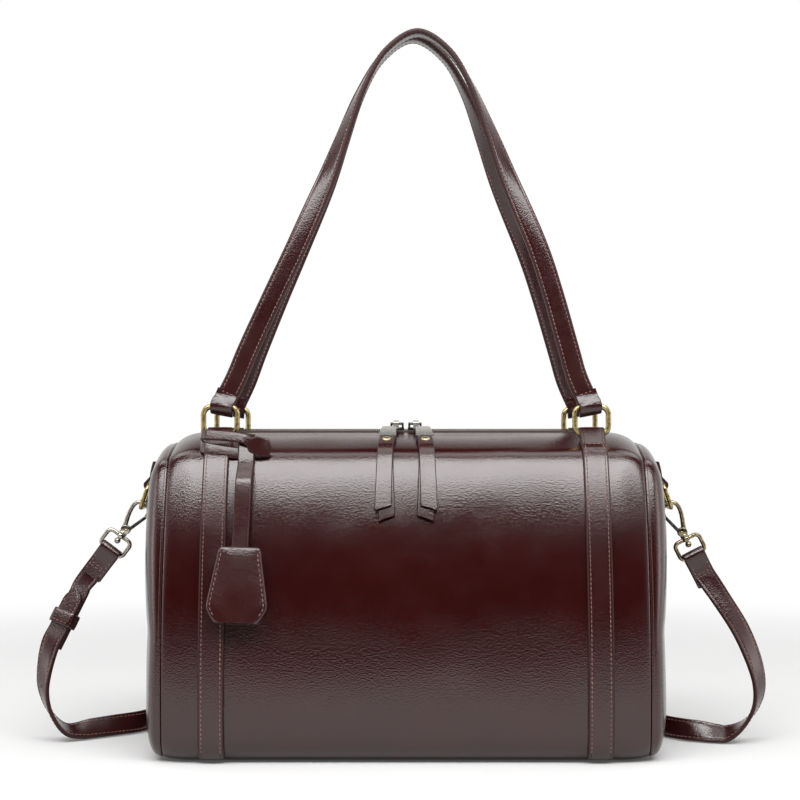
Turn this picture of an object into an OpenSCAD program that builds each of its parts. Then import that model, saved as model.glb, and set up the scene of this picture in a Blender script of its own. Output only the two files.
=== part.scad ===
// Barrel bag of leather with twin handles, a two-way zip, a key bell and a clip-on shoulder strap.
// Origin: centre of the base on the floor. +X to the right, the front faces -Y, +Z up. Millimetres.

/* [Body] */
// Length of the tube between the end seams
body_l = 283; // [240:1:340]
// Height of the bag at the zip
body_h = 192; // [165:1:225]
// Depth of the bag at its fullest
body_d = 164; // [140:1:190]
// Thickness of the shell leather
shell_t = 1.8; // [1.2:0.1:2.4]
// Radius of the lower corners
corner_r = 15; // [10:0.5:22]
// Length over which the tube rounds in towards an end seam
round_l = 17; // [10:0.5:22]
// How far an end panel domes out past its seam
end_bulge = 12.5; // [10:0.5:17]
// Radius of the piping in the end seams
piping_r = 1.4; // [0.9:0.1:1.8]
// Thickness of the lining cloth
lining_t = 0.6; // [0.4:0.1:1]
// Thickness of the base board
board_t = 2; // [1:0.1:3]
// Width of the inner pocket
pocket_w = 130; // [90:1:170]

/* [Straps and rings] */
// Distance from the middle of the bag to the middle of a body strap
strap_x = 112.5; // [100:0.5:117]
// Width of a body strap
body_strap_w = 15; // [11:0.5:15.4]
// Thickness of a body strap
body_strap_t = 2.4; // [1.8:0.1:3]
// Outer width of a handle ring
ring_w = 23.7; // [23:0.1:26]
// Outer height of a handle ring
ring_h = 20; // [19:0.1:24]
// Wire radius of a handle ring
ring_wire_r = 1.7; // [1.2:0.1:1.9]
// Distance from the zip line to a handle ring
ring_u = 33; // [30:0.5:37]

/* [Handles] */
// Height of the handles above the floor
handle_top = 442; // [390:1:500]
// Width of a handle
handle_w = 12.8; // [10:0.1:13.6]
// Thickness of a handle
handle_t = 3.3; // [2.6:0.1:3.8]
// Gap between the two handles at the top
handle_gap = 2.4; // [1:0.1:6]

/* [Zip] */
// Width of the opening between the two panels
zip_gap = 11; // [10.5:0.1:13]
// Length of the row of teeth
zip_l = 248; // [200:1:256]
// Distance from one tooth to the next in a row
tooth_pitch = 2.4; // [2:0.1:4]
// Length of a slider
slider_l = 9; // [7:0.5:10]
// Width of a pull's leather
pull_w = 9; // [7:0.5:11]
// Thickness of one layer of a pull's leather
pull_layer_t = 1.1; // [0.8:0.1:1.4]
// Height above the floor of a pull's lower end
pull_end_z = 141; // [120:1:150]

/* [Key bell] */
// Width of the key strap
key_strap_w = 9.6; // [7:0.1:11]
// Thickness of the key strap
key_strap_t = 2; // [1.4:0.1:2.4]
// Widest width of the bell
bell_w = 36.5; // [30:0.5:40]
// Height of the bell
bell_h = 44.5; // [38:0.5:50]
// Width of the space inside the bell, front to back
bell_space = 4.6; // [4.4:0.1:5]
// Thickness of one face of the bell
bell_t = 1.5; // [1:0.1:2]

/* [Shoulder strap] */
// Width of the shoulder strap
strap_w = 13.2; // [11:0.1:13.6]
// Thickness of the shoulder strap
strap_t = 2.4; // [1.8:0.1:3]
// How far a loop of the strap spreads beyond the end seam
strap_reach = 83.5; // [78:0.5:100]
// How far the strap lies behind the bag
strap_back = 56; // [30:1:90]
// Outer width of a strap ring
strap_ring_w = 19.4; // [19:0.1:22]
// Wire radius of the strap rings and end rings
clip_wire_r = 1.3; // [1:0.1:1.4]
// Tilt of the left hook
left_tilt = 37; // [32:1:40]
// Tilt of the right hook
right_tilt = 27; // [22:1:31]

/* [Hidden] */
$fn = 40;

leather = [0.28, 0.1, 0.11];
leather_edge = [0.2, 0.07, 0.08];
lining_cloth = [0.45, 0.4, 0.36];
antique_brass = [0.66, 0.56, 0.33];
gunmetal = [0.25, 0.24, 0.25];
nickel = [0.72, 0.7, 0.64];

// Overrun of a cut past the face that it opens
cut = 1;
// Space between two layers that are sewn together
layer_gap = 0.15;
// Space between a leather fold and the wire that it holds
fold_gap = 0.65;
// Space between soft pieces of different bodies
soft_gap = 0.4;
// Running space round a pin or post
pin_gap = 0.06;

// Profile of the tube, as distance u from the zip line and height z, from the zip to the base seam
half_d = body_d / 2;
crease_u = 0.61 * half_d;
crease_z = 0.94 * body_h;
slope_bend = 1.7;
face_in = 1;
foot_u = half_d - face_in - corner_r;
face_shares = [[0.8, 0.84], [1.05, 0.42]];
top_steps = 5;
face_steps = 7;
corner_steps = 4;
base_steps = 6;

function slope_z(u) = body_h - (body_h - crease_z) * pow(u / crease_u, slope_bend);
function cubic(a, b, c, d, t) =
  a * pow(1 - t, 3) + 3 * b * t * pow(1 - t, 2) + 3 * c * pow(t, 2) * (1 - t) + d * pow(t, 3);
top_line = [for (k = [0:top_steps])
  let (u = zip_gap / 2 + (crease_u - zip_gap / 2) * k / top_steps) [u, slope_z(u)]];
face_line = [for (k = [1:face_steps])
  cubic([crease_u, crease_z],
        [face_shares[0][0] * half_d, face_shares[0][1] * body_h],
        [face_shares[1][0] * half_d, face_shares[1][1] * body_h],
        [half_d - face_in, corner_r], k / face_steps)];
corner_line = [for (k = [1:corner_steps])
  [foot_u + corner_r * cos(90 * k / corner_steps), corner_r - corner_r * sin(90 * k / corner_steps)]];
half_outline = concat(top_line, face_line, corner_line);

function turned(v) = [-v[1], v[0]];
function unit(v) = v / norm(v);
function side_normal(p, a, b) = unit(turned(p[b] - p[a]));
// Unit normal at point k of a line, lengthened so that both neighbouring edges move out alike
function mitre(p, k) = let (last = len(p) - 1)
  k == 0 ? side_normal(p, 0, 1) : k == last ? side_normal(p, last - 1, last) :
  let (a = side_normal(p, k - 1, k), m = unit(a + side_normal(p, k, k + 1))) m / (m * a);
function offset_line(p, d) = [for (k = [0:len(p) - 1]) p[k] + d * mitre(p, k)];
function outline_u(z) =
  lookup(z, [for (k = [len(half_outline) - 1:-1:top_steps]) [half_outline[k][1], half_outline[k][0]]]);

// Rounding of the tube towards the end seams: 0 in the middle, 1 at the seam
seam_turn_share = 0.94;
mid_z = 0.42 * body_h;
top_drop = 0.4 * round_l;
front_in = 0.2 * round_l;
foot_lift = 0.1 * round_l;
flat_x = body_l / 2 - round_l;
round_steps = 4;
half_stations = [for (k = [0:round_steps]) flat_x + round_l * k / round_steps];
stations = concat([for (k = [round_steps:-1:0]) -half_stations[k]], half_stations);
function bend(x) = abs(x) <= flat_x ? 0 :
  (1 - sqrt(1 - pow(seam_turn_share * (abs(x) - flat_x) / round_l, 2)))
    / (1 - sqrt(1 - pow(seam_turn_share, 2)));
function end_shape(p, t) = [
  p[0] * (1 - front_in / half_d * t),
  p[1] > mid_z ? mid_z + (p[1] - mid_z) * (1 - top_drop / (body_h - mid_z) * t)
               : mid_z - (mid_z - p[1]) * (1 - foot_lift / mid_z * t)];
function row(line, x) = [for (p = line) let (q = end_shape(p, bend(x))) [x, -q[0], q[1]]];

// Closed ring of the tube's outline, from the front zip edge down, under the base and up the back
function ring_line(d) = let (h = offset_line(half_outline, d)) concat(
  [for (p = h) [-p[0], p[1]]],
  [for (k = [1:base_steps - 1]) [-foot_u + 2 * foot_u * k / base_steps, h[len(h) - 1][1]]],
  [for (k = [len(h) - 1:-1:0]) [h[k][0], h[k][1]]]);
function seam_ring(d) = [for (p = ring_line(d))
  let (q = end_shape([abs(p[0]), p[1]], 1)) [sign(p[0]) * q[0], q[1]]];

function quad(q) = [[q[0], q[1], q[2]], [q[0], q[2], q[3]]];
function strip(rows, m, o, turn) = [for (i = [0:rows - 2], j = [0:m - 2])
  let (a = o + i * m + j, b = a + m) each quad(turn ? [a, a + 1, b + 1, b] : [a, b, b + 1, a + 1])];

// Solid between two grids of points of the same size
module slab(outer, inner) {
  n = len(outer);
  m = len(outer[0]);
  o = n * m;
  last = (n - 1) * m;
  faces = concat(strip(n, m, 0, false), strip(n, m, o, true),
    [for (i = [0:n - 2]) let (a = i * m, b = a + m) each quad([a, o + a, o + b, b])],
    [for (i = [0:n - 2]) let (a = i * m + m - 1, b = a + m) each quad([a, b, o + b, o + a])],
    [for (j = [0:m - 2]) each quad([j, j + 1, o + j + 1, o + j])],
    [for (j = [0:m - 2]) let (a = last + j) each quad([a, o + a, o + a + 1, a + 1])]);
  polyhedron([for (r = concat(outer, inner)) each r], faces);
}

// Tube of sections that each have the same number of points, closed at both ends or into a ring
module skin(sections, ring = false) {
  n = len(sections);
  m = len(sections[0]);
  body = [for (i = [0:ring ? n - 1 : n - 2], j = [0:m - 1])
    let (a = i * m, b = (i + 1) % n * m, k = (j + 1) % m) each quad([a + j, b + j, b + k, a + k])];
  caps = ring ? [] : concat([for (j = [1:m - 2]) [0, j, j + 1]],
    [for (j = [1:m - 2]) let (a = (n - 1) * m) [a, a + j + 1, a + j]]);
  polyhedron([for (s = sections) each s], concat(body, caps));
}

module mirrored(side, axis) {
  if (side > 0) mirror(axis) children();
  else children();
}

// Prism along X of an outline in y and z
module prism_x(points, w) {
  rotate([90, 0, 90]) linear_extrude(w, center = true) polygon(points);
}

module bar_x(r, l) { rotate([0, 90, 0]) cylinder(r = r, h = l, center = true); }
module bar_y(r, l) { rotate([90, 0, 0]) cylinder(r = r, h = l, center = true); }

// Rounded rectangle of wire in the XZ plane, w by h outside
module wire_loop(w, h, wire_r, bend_r) {
  x = w / 2 - wire_r - bend_r;
  z = h / 2 - wire_r - bend_r;
  for (s = [-1, 1]) {
    translate([0, 0, s * (z + bend_r)]) bar_x(wire_r, 2 * x);
    translate([s * (x + bend_r), 0, 0]) cylinder(r = wire_r, h = 2 * z, center = true);
    for (q = [-1, 1]) translate([s * x, 0, q * z]) rotate([90, 0, 0])
      rotate([0, 0, s > 0 ? (q > 0 ? 0 : 270) : (q > 0 ? 90 : 180)])
        rotate_extrude(angle = 90) translate([bend_r, 0]) circle(wire_r);
  }
}

// Shell

module front_half_panel() {
  outer = [for (x = stations) row(half_outline, x)];
  inner = [for (x = stations) row(offset_line(half_outline, -shell_t), x)];
  slab(outer, inner);
}
module front_panel() { color(leather) front_half_panel(); }
module back_panel() { color(leather) mirror([0, 1, 0]) front_half_panel(); }

base_in = offset_line(half_outline, -shell_t)[len(half_outline) - 1][0] - layer_gap;
module base_panel() {
  line = [for (k = [0:base_steps]) base_in - 2 * base_in * k / base_steps];
  color(leather) slab(
    [for (x = stations) row([for (y = line) [y, 0]], x)],
    [for (x = stations) row([for (y = line) [y, shell_t]], x)]);
}

// End panels: domes that start at the seam ring
rim_x = body_l / 2 + 2 * piping_r + 2 * layer_gap;
dome_z = 0.39 * body_h;
dome_rings = [1, 0.97, 0.9, 0.78, 0.6, 0.35];
side_power = 2.2;
top_power = 8;
low_power = 3.5;
function dome_power(p) = let (s = (p[1] - dome_z) / norm([p[0], p[1] - dome_z]))
  s > 0 ? side_power + (top_power - side_power) * s : side_power - (low_power - side_power) * s;
function dome_rise(s, power, bulge) = bulge * sqrt(1 - pow(s, power));
function dome_ring(line, s, bulge) = [for (p = line)
  [-rim_x - dome_rise(s, dome_power(p), bulge), p[0] * s, dome_z + (p[1] - dome_z) * s]];
top_line_z = end_shape([0, body_h], 1)[1];
// Distance from the middle of the bag to the dome's crown line at height z
function dome_x(z) = rim_x + dome_rise((z - dome_z) / (top_line_z - dome_z), top_power, end_bulge);

module end_panel(side) {
  outer = [for (s = dome_rings) dome_ring(seam_ring(0), s, end_bulge)];
  inner = [for (s = dome_rings) dome_ring(seam_ring(-shell_t), s, end_bulge - shell_t)];
  m = len(outer[0]);
  n = len(dome_rings);
  o = n * m;
  tip = 2 * o;
  last = (n - 1) * m;
  function wrap(a, b, j) = let (k = (j + 1) % m) quad([a + j, b + j, b + k, a + k]);
  faces = concat(
    [for (i = [0:n - 2], j = [0:m - 1]) each wrap((i + 1) * m, i * m, j)],
    [for (i = [0:n - 2], j = [0:m - 1]) each wrap(o + i * m, o + (i + 1) * m, j)],
    [for (j = [0:m - 1]) each wrap(0, o, j)],
    [for (j = [0:m - 1]) [last + j, last + (j + 1) % m, tip]],
    [for (j = [0:m - 1]) [o + last + (j + 1) % m, o + last + j, tip + 1]]);
  points = concat([for (r = outer) each r], [for (r = inner) each r],
    [[-rim_x - end_bulge, 0, dome_z], [-rim_x - end_bulge + shell_t, 0, dome_z]]);
  color(leather) mirrored(side, [1, 0, 0]) polyhedron(points, faces);
}
module left_end_panel() { end_panel(-1); }
module right_end_panel() { end_panel(1); }

// Piping: a thin cord round the seam ring
piping_in = 0.6 * piping_r;
piping_sides = 6;
module piping(side) {
  line = seam_ring(-piping_in);
  m = len(line);
  x = -body_l / 2 - piping_r - layer_gap;
  sections = [for (k = [0:m - 1])
    let (t = unit(line[(k + 1) % m] - line[(k + m - 1) % m]), n = turned(t))
    [for (i = [0:piping_sides - 1]) let (a = 360 * i / piping_sides)
      [x + piping_r * sin(a), each line[k] + piping_r * cos(a) * n]]];
  color(leather_edge) mirrored(side, [1, 0, 0]) skin(sections, true);
}
module left_piping() { piping(-1); }
module right_piping() { piping(1); }

// Inside

// The zip tape runs between the shell and the lining
tape_t = 0.6;
lining_d = shell_t + tape_t + 2 * layer_gap;
module lining() {
  function full_row(d, x) = [for (p = ring_line(-d)) let (q = end_shape([abs(p[0]), p[1]], bend(x)))
    [x, sign(p[0]) * q[0], q[1]]];
  color(lining_cloth) slab([for (x = stations) full_row(lining_d, x)],
    [for (x = stations) full_row(lining_d + lining_t, x)]);
}
module end_lining(side) {
  color(lining_cloth) mirrored(side, [1, 0, 0])
    translate([-body_l / 2 + lining_t, 0, 0]) prism_x(seam_ring(-lining_d - lining_t - layer_gap), lining_t);
}
module left_end_lining() { end_lining(-1); }
module right_end_lining() { end_lining(1); }

board_z = lining_d + lining_t + layer_gap;
module base_board() {
  color("dimgray") translate([-flat_x, -foot_u, board_z]) cube([2 * flat_x, 2 * foot_u, board_t]);
}

// Slip pocket sewn on the back of the lining
pocket_t = 0.8;
pocket_d = lining_d + lining_t + layer_gap;
pocket_from = top_steps + 1;
pocket_to = top_steps + 4;
module inner_pocket() {
  function part(d) = let (p = offset_line(half_outline, -d)) [for (k = [pocket_from:pocket_to]) p[k]];
  function rows(d) = [for (x = [-1, 1] * pocket_w / 2) [for (p = part(d)) [x, -p[0], p[1]]]];
  color(lining_cloth) mirror([0, 1, 0]) slab(rows(pocket_d), rows(pocket_d + pocket_t));
}

// Zip: the rows of teeth stand level with the panels, on tapes that dip under the panels' edges

chain_rise = 0.4;
chain_z = body_h + chain_rise;
chain_t = 2;
tooth_w = 0.42 * tooth_pitch;
tooth_reach = 0.6;
row_in = 0.8;
row_out = 2.35;
tape_in = 2.4;
tape_w = 12;
tape_d = shell_t + layer_gap;
tooth_count = floor(zip_l / tooth_pitch);

module zip_tape(side) {
  edge = zip_gap / 2;
  cover = edge + tape_w;
  under = slope_z(edge) - tape_d;
  points = [[-tape_in, chain_z + tape_t / 2], [-tape_in, chain_z - tape_t / 2],
    [3 * tape_t - edge, chain_z - tape_t / 2], [1.5 * tape_t + layer_gap - edge, under - tape_t],
    [-cover, slope_z(cover) - tape_d - tape_t], [-cover, slope_z(cover) - tape_d],
    [layer_gap - edge, under], [2 * tape_t + layer_gap - edge, chain_z + tape_t / 2]];
  color("saddlebrown") mirrored(side, [0, 1, 0]) prism_x(points, 2 * flat_x);
}
module front_zip_tape() { zip_tape(-1); }
module back_zip_tape() { zip_tape(1); }

// One row of teeth: a comb whose teeth pass between those of the other row
module zip_teeth(side) {
  start = -tooth_count * tooth_pitch / 2 + (side > 0 ? tooth_pitch / 2 : 0);
  comb = [for (k = [0:tooth_count - 1]) let (x = start + k * tooth_pitch)
    each [[x - tooth_w / 2, -row_in], [x - tooth_w / 2, tooth_reach],
          [x + tooth_w / 2, tooth_reach], [x + tooth_w / 2, -row_in]]];
  ends = zip_l / 2 + tooth_pitch;
  color(antique_brass) translate([0, 0, chain_z - chain_t / 2]) mirrored(side, [0, 1, 0])
    linear_extrude(chain_t)
      polygon(concat([[-ends, -row_out], [-ends, -row_in]], comb, [[ends, -row_in], [ends, -row_out]]));
}
module front_zip_teeth() { zip_teeth(-1); }
module back_zip_teeth() { zip_teeth(1); }

// Sliders: an upper and a lower plate round the teeth, and a bridge that holds the pull
slider_gap = 0.2;
slider_apart = 1.1;
slider_x = slider_l / 2 + slider_apart;
slider_top = chain_z + chain_t / 2 + slider_gap;
plate_t = 1.2;
slider_half = 4.2;
flange_t = slider_half - row_out - 2 * slider_gap;
bridge_r = 0.8;
bridge_rise = 2.3;
bridge_z = slider_top + plate_t + bridge_rise;
bridge_post = 1.3;
bridge_in = 0.6;
bridge_l = slider_l - bridge_in;
module zip_slider(side) {
  flange_z = chain_z + tape_t / 2 + slider_gap;
  low_half = zip_gap / 2 - 3 * tape_t - 2 * slider_gap;
  low_top = chain_z - chain_t / 2 - slider_gap;
  color(gunmetal) translate([side * slider_x, 0, 0]) {
    prism_x([[-slider_half, flange_z], [flange_t - slider_half, flange_z], [flange_t - slider_half, slider_top],
      [slider_half - flange_t, slider_top], [slider_half - flange_t, flange_z], [slider_half, flange_z],
      [slider_half, slider_top + plate_t / 2], [slider_half - plate_t, slider_top + plate_t],
      [plate_t - slider_half, slider_top + plate_t], [-slider_half, slider_top + plate_t / 2]], slider_l);
    translate([-slider_l / 2, -low_half, low_top - plate_t]) cube([slider_l, 2 * low_half, plate_t]);
    translate([0, 0, bridge_z]) bar_x(bridge_r, bridge_l);
    for (s = [-1, 1])
      translate([s * (bridge_l - bridge_post) / 2 - bridge_post / 2, -bridge_r, slider_top + plate_t / 2])
        cube([bridge_post, 2 * bridge_r, bridge_z - slider_top - plate_t / 2]);
  }
}
module left_zip_slider() { zip_slider(-1); }
module right_zip_slider() { zip_slider(1); }

// Pulls: a metal cap that hangs on the bridge, leather in two layers under it, and a rivet
pull_x = 9.6;
pull_turn = 3;
eye_x = 6.2;
eye_gap = 0.35;
eye_t = 0.8;
eye_r = bridge_r + eye_gap + eye_t;
eye_l = 3.4;
arm_t = 1.6;
cap_t = 0.6;
cap_from = 9;
cap_to = 34;
cap_top_w = 8.4;
cap_low_w = 10.8;
leather_d = soft_gap + cap_t + layer_gap;
pull_t = 2 * pull_layer_t + layer_gap;
cap_h = leather_d + pull_t + layer_gap + cap_t;
leather_from = 22;
rivet_u = 39;
rivet_r = 2.7;
rivet_t = 0.8;
rivet_shaft_r = 1.1;
pull_slant = 27;

slope_points = 5;
// Half of the step over which a slope is measured
probe = 0.5;
function on_slope(u, d) =
  let (n = unit(turned([2 * probe, slope_z(u + probe) - slope_z(u - probe)]))) [u, slope_z(u)] + d * n;
function slope_part(u0, u1, d) = [for (k = [0:slope_points]) on_slope(u0 + (u1 - u0) * k / slope_points, d)];
function front(points) = [for (p = points) [-p[0], p[1]]];
function reversed(points) = [for (k = [len(points) - 1:-1:0]) points[k]];
function band(line_a, line_b) = concat(front(line_a), reversed(front(line_b)));
// Part of the outline from the crease down to height z, at distance d outside it
function face_part(z, d) = let (p = offset_line(half_outline, d))
  concat([for (k = [top_steps:len(p) - 1]) if (p[k][1] > z) p[k]], [[outline_u(z) + d, z]]);

module at_pull(side) { translate([side * pull_x, 0, 0]) rotate([0, 0, side * pull_turn]) children(); }
module rivet_place() {
  a = on_slope(rivet_u, 0);
  n = on_slope(rivet_u, 1) - a;
  translate([0, -a[0], a[1]]) rotate([atan2(n[0], n[1]), 0, 0]) children();
}
module pull_cap(side) {
  clamp = front(concat(
    slope_part(cap_from, cap_to, cap_h), reversed(slope_part(cap_from + arm_t, cap_to, cap_h - cap_t)),
    slope_part(cap_from + arm_t, cap_to, soft_gap + cap_t), reversed(slope_part(cap_from, cap_to, soft_gap))));
  a = on_slope(cap_from + arm_t / 2, cap_h - cap_t / 2);
  b = on_slope(cap_from + arm_t / 2, cap_h - arm_t);
  color(nickel) {
    at_pull(side) intersection() {
      prism_x(clamp, cap_low_w);
      translate([0, 0, chain_z - cap_low_w]) linear_extrude(3 * cap_low_w)
        polygon([[-cap_top_w / 2, cut - cap_from], [cap_top_w / 2, cut - cap_from],
                 [cap_low_w / 2, -cap_to - cut], [-cap_low_w / 2, -cap_to - cut]]);
    }
    translate([side * eye_x, 0, 0]) difference() {
      union() {
        translate([0, 0, bridge_z]) bar_x(eye_r, eye_l);
        prism_x([[-eye_r / 2, bridge_z + eye_r / 2], [-a[0], a[1]], [-b[0], b[1]],
          [-slider_half - soft_gap, slider_top + plate_t + soft_gap],
          [-eye_r / 2, bridge_z - eye_r / 2]], eye_l);
      }
      translate([0, 0, bridge_z]) bar_x(bridge_r + eye_gap, eye_l + 2 * cut);
    }
  }
}
module left_pull_cap() { pull_cap(-1); }
module right_pull_cap() { pull_cap(1); }

module pull_tab(side) {
  color(leather) at_pull(side) difference() {
    for (d = [leather_d, leather_d + pull_layer_t + layer_gap])
      prism_x(concat(
        front(concat(slope_part(leather_from, crease_u, d + pull_layer_t),
          face_part(pull_end_z, d + pull_layer_t))),
        reversed(front(concat(slope_part(leather_from, crease_u, d), face_part(pull_end_z, d))))), pull_w);
    translate([0, -body_d / 2, pull_end_z]) rotate([0, side * pull_slant, 0])
      translate([0, 0, -pull_w]) cube([3 * pull_w, body_d, 2 * pull_w], center = true);
    rivet_place() cylinder(r = rivet_shaft_r + pin_gap, h = 3 * cap_h, center = true);
  }
}
module left_pull_tab() { pull_tab(-1); }
module right_pull_tab() { pull_tab(1); }

module pull_rivet(side) {
  top = leather_d + pull_t + layer_gap / 2;
  color(antique_brass) at_pull(side) rivet_place() {
    translate([0, 0, top]) cylinder(r1 = rivet_r, r2 = 0.7 * rivet_r, h = rivet_t, $fn = 48);
    translate([0, 0, leather_d - layer_gap / 2 - cap_t / 2])
      cylinder(r = rivet_shaft_r, h = top + cap_t - leather_d);
    translate([0, 0, leather_d - layer_gap / 2 - cap_t]) cylinder(r = rivet_r, h = cap_t);
  }
}
module left_pull_rivet() { pull_rivet(-1); }
module right_pull_rivet() { pull_rivet(1); }

// Body straps: sewn down the tube, folded round the lower bar of a ring at the top

chape_t = 1.9;
chape_r = ring_wire_r + fold_gap + chape_t;
chape_l = 12.5;
ring_pivot = on_slope(ring_u, layer_gap + chape_r);
strap_corner_steps = 2;
strap_last = top_steps + face_steps + strap_corner_steps;
function strap_line(d) = let (p = offset_line(half_outline, d))
  concat(slope_part(ring_u, crease_u, d), [for (k = [top_steps:strap_last]) p[k]]);
wedge_top = ring_pivot + chape_r * (on_slope(ring_u, 1) - on_slope(ring_u, 0));
wedge_foot = on_slope(ring_u + chape_l, layer_gap + body_strap_t);
module body_strap(side, back) {
  color(leather) mirrored(back, [0, 1, 0]) translate([side * strap_x, 0, 0]) difference() {
    union() {
      prism_x(band(strap_line(layer_gap + body_strap_t), strap_line(layer_gap)), body_strap_w);
      prism_x(front([wedge_top, wedge_foot, on_slope(ring_u + chape_l, layer_gap),
        on_slope(ring_u, layer_gap)]),
        body_strap_w);
      translate([0, -ring_pivot[0], ring_pivot[1]]) bar_x(chape_r, body_strap_w);
    }
    translate([0, -ring_pivot[0], ring_pivot[1]]) bar_x(ring_wire_r + fold_gap, body_strap_w + 2 * cut);
  }
}
module front_left_body_strap() { body_strap(-1, -1); }
module front_right_body_strap() { body_strap(1, -1); }
module back_left_body_strap() { body_strap(-1, 1); }
module back_right_body_strap() { body_strap(1, 1); }

// Handle rings: rounded rectangles of wire that stand on their lower bars
ring_bend_r = 3.2;
ring_rise = ring_h - 2 * ring_wire_r;
module handle_ring(side, back) {
  color(antique_brass) mirrored(back, [0, 1, 0])
    translate([side * strap_x, -ring_pivot[0], ring_pivot[1] + ring_rise / 2])
      wire_loop(ring_w, ring_h, ring_wire_r, ring_bend_r);
}
module front_left_ring() { handle_ring(-1, -1); }
module front_right_ring() { handle_ring(1, -1); }
module back_left_ring() { handle_ring(-1, 1); }
module back_right_ring() { handle_ring(1, 1); }

// Curves through hand-chosen points
function curve_at(a, b, c, d, t) =
  (2 * b + (c - a) * t + (2 * a - 5 * b + 4 * c - d) * pow(t, 2) + (3 * b - a - 3 * c + d) * pow(t, 3)) / 2;
function curve(p, n) = let (last = len(p) - 1) concat(
  [for (k = [0:last - 1], i = [0:n - 1])
    curve_at(p[max(k - 1, 0)], p[k], p[k + 1], p[min(k + 2, last)], i / n)], [p[last]]);
function tangent(p, k) = unit(p[min(k + 1, len(p) - 1)] - p[max(k - 1, 0)]);
// Rectangle with half width along w and half thickness along n, turning from n to w about the way ahead
function strap_section(c, w, n, half_w, half_t) =
  [for (q = [[1, -1], [1, 1], [-1, 1], [-1, -1]]) c + q[0] * half_t * n + q[1] * half_w * w];

// Handles: each leg leaves its ring flat and turns a quarter by the top
handle_z = ring_pivot[1] + ring_rise;
handle_u = (handle_w + handle_gap) / 2;
front_shift = 7.2;
back_shift = 4.4;
handle_shares = [[0.993, 0], [0.92, 0.075], [0.864, 0.154], [0.756, 0.299], [0.656, 0.423], [0.496, 0.607],
  [0.4, 0.731],
  [0.296, 0.855], [0.173, 0.95], [0, 1]];
twist_start_share = 0.35;
handle_steps = 3;
function ease(t) = t <= 0 ? 0 : t >= 1 ? 1 : pow(t, 2) * (3 - 2 * t);
function handle_point(s, side, shift) = [side * s[0] * strap_x + shift * ease(2 * s[1]),
  -ring_pivot[0] + (ring_pivot[0] - handle_u) * s[1], handle_z + (handle_top - handle_t / 2 - handle_z) * s[1]];
function handle_points(shift) = concat([for (s = handle_shares) handle_point(s, -1, shift)],
  [for (k = [len(handle_shares) - 2:-1:0]) handle_point(handle_shares[k], 1, shift)]);
fold_l = 22;
fold_end_t = 1.25 * handle_t;
function leg_tilt(side, shift) =
  let (d = handle_point(handle_shares[2], side, shift) - handle_point(handle_shares[0], side, shift))
  atan2(d[0], d[2]);
module handle(back) {
  shift = back > 0 ? back_shift : front_shift;
  all = handle_points(shift);
  p = curve([for (k = [1:len(all) - 2]) all[k]], handle_steps);
  sections = [for (k = [0:len(p) - 1])
    let (t = tangent(p, k), share = (p[k][2] - handle_z) / (handle_top - handle_z),
         a = 90 * ease((share - twist_start_share) / (1 - twist_start_share)), out = unit(cross(t, [0, 1, 0])),
         m = cos(a) * [0, -1, 0] + sin(a) * out, n = unit(m - (m * t) * t))
    strap_section(p[k], cross(t, n), n, handle_w / 2, handle_t / 2)];
  color(leather) mirrored(back, [0, 1, 0]) {
    skin(sections);
    for (side = [-1, 1])
      translate([side * handle_shares[0][0] * strap_x, -ring_pivot[0], handle_z]) difference() {
      union() {
        bar_x(chape_r, handle_w + layer_gap);
        rotate([atan2(handle_u - ring_pivot[0], handle_top - handle_z), 0, 0])
          rotate([0, leg_tilt(side, shift), 0]) translate([-handle_w / 2 - layer_gap, -fold_end_t / 2, 0])
            cube([handle_w + 2 * layer_gap, fold_end_t, fold_l]);
      }
      bar_x(ring_wire_r + fold_gap, handle_w + 2 * handle_t);
    }
  }
}
module front_handle() { handle(-1); }
module back_handle() { handle(1); }

// End tabs and end rings

end_bar_share = 0.825;
end_bar_z = end_bar_share * body_h;
tab_t = 1.6;
tab_w = 12;
tab_top_share = 0.9;
tab_r = clip_wire_r + fold_gap + tab_t;
function crown_point(z, d) =
  let (n = unit([2 * probe, dome_x(z - probe) - dome_x(z + probe)])) [dome_x(z) + d * n[0], z + d * n[1]];
end_bar = crown_point(end_bar_z, tab_r + 2 * layer_gap);
end_lean = 20;
end_ring_w = 19.4;
end_ring_h = 17.6;
end_ring_bend_r = 3.2;
end_ring_drop = end_ring_h - 2 * clip_wire_r;
// Middle of an end ring's lower bar, which a hook holds: x outwards, z
clip = end_bar + end_ring_drop * [sin(end_lean), -cos(end_lean)];
tab_steps = 4;
module end_tab(side) {
  zs = [for (k = [0:tab_steps]) (tab_top_share + (end_bar_share - tab_top_share) * k / tab_steps) * body_h];
  outer = [for (z = zs) crown_point(z, 2 * layer_gap + tab_t)];
  inner = [for (z = zs) crown_point(z, 2 * layer_gap)];
  away = tab_r * unit(end_bar - crown_point(end_bar_z, 0));
  color(leather) mirrored(side, [1, 0, 0]) difference() {
    union() {
      rotate([90, 0, 0]) linear_extrude(tab_w, center = true) polygon(front(concat(outer, reversed(inner))));
      rotate([90, 0, 0]) linear_extrude(tab_w, center = true)
        polygon(front([outer[1], inner[1], inner[tab_steps], end_bar - away / 2, end_bar + away]));
      translate([-end_bar[0], 0, end_bar[1]]) bar_y(tab_r, tab_w);
    }
    translate([-end_bar[0], 0, end_bar[1]]) bar_y(clip_wire_r + fold_gap, tab_w + 2 * cut);
  }
}
module left_end_tab() { end_tab(-1); }
module right_end_tab() { end_tab(1); }

module end_ring(side) {
  color(antique_brass) mirrored(side, [1, 0, 0]) translate([-end_bar[0], 0, end_bar[1]])
    rotate([0, end_lean, 0]) translate([0, 0, -end_ring_drop / 2]) rotate([0, 0, 90])
      wire_loop(end_ring_w, end_ring_h, clip_wire_r, end_ring_bend_r);
}
module left_end_ring() { end_ring(-1); }
module right_end_ring() { end_ring(1); }

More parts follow.
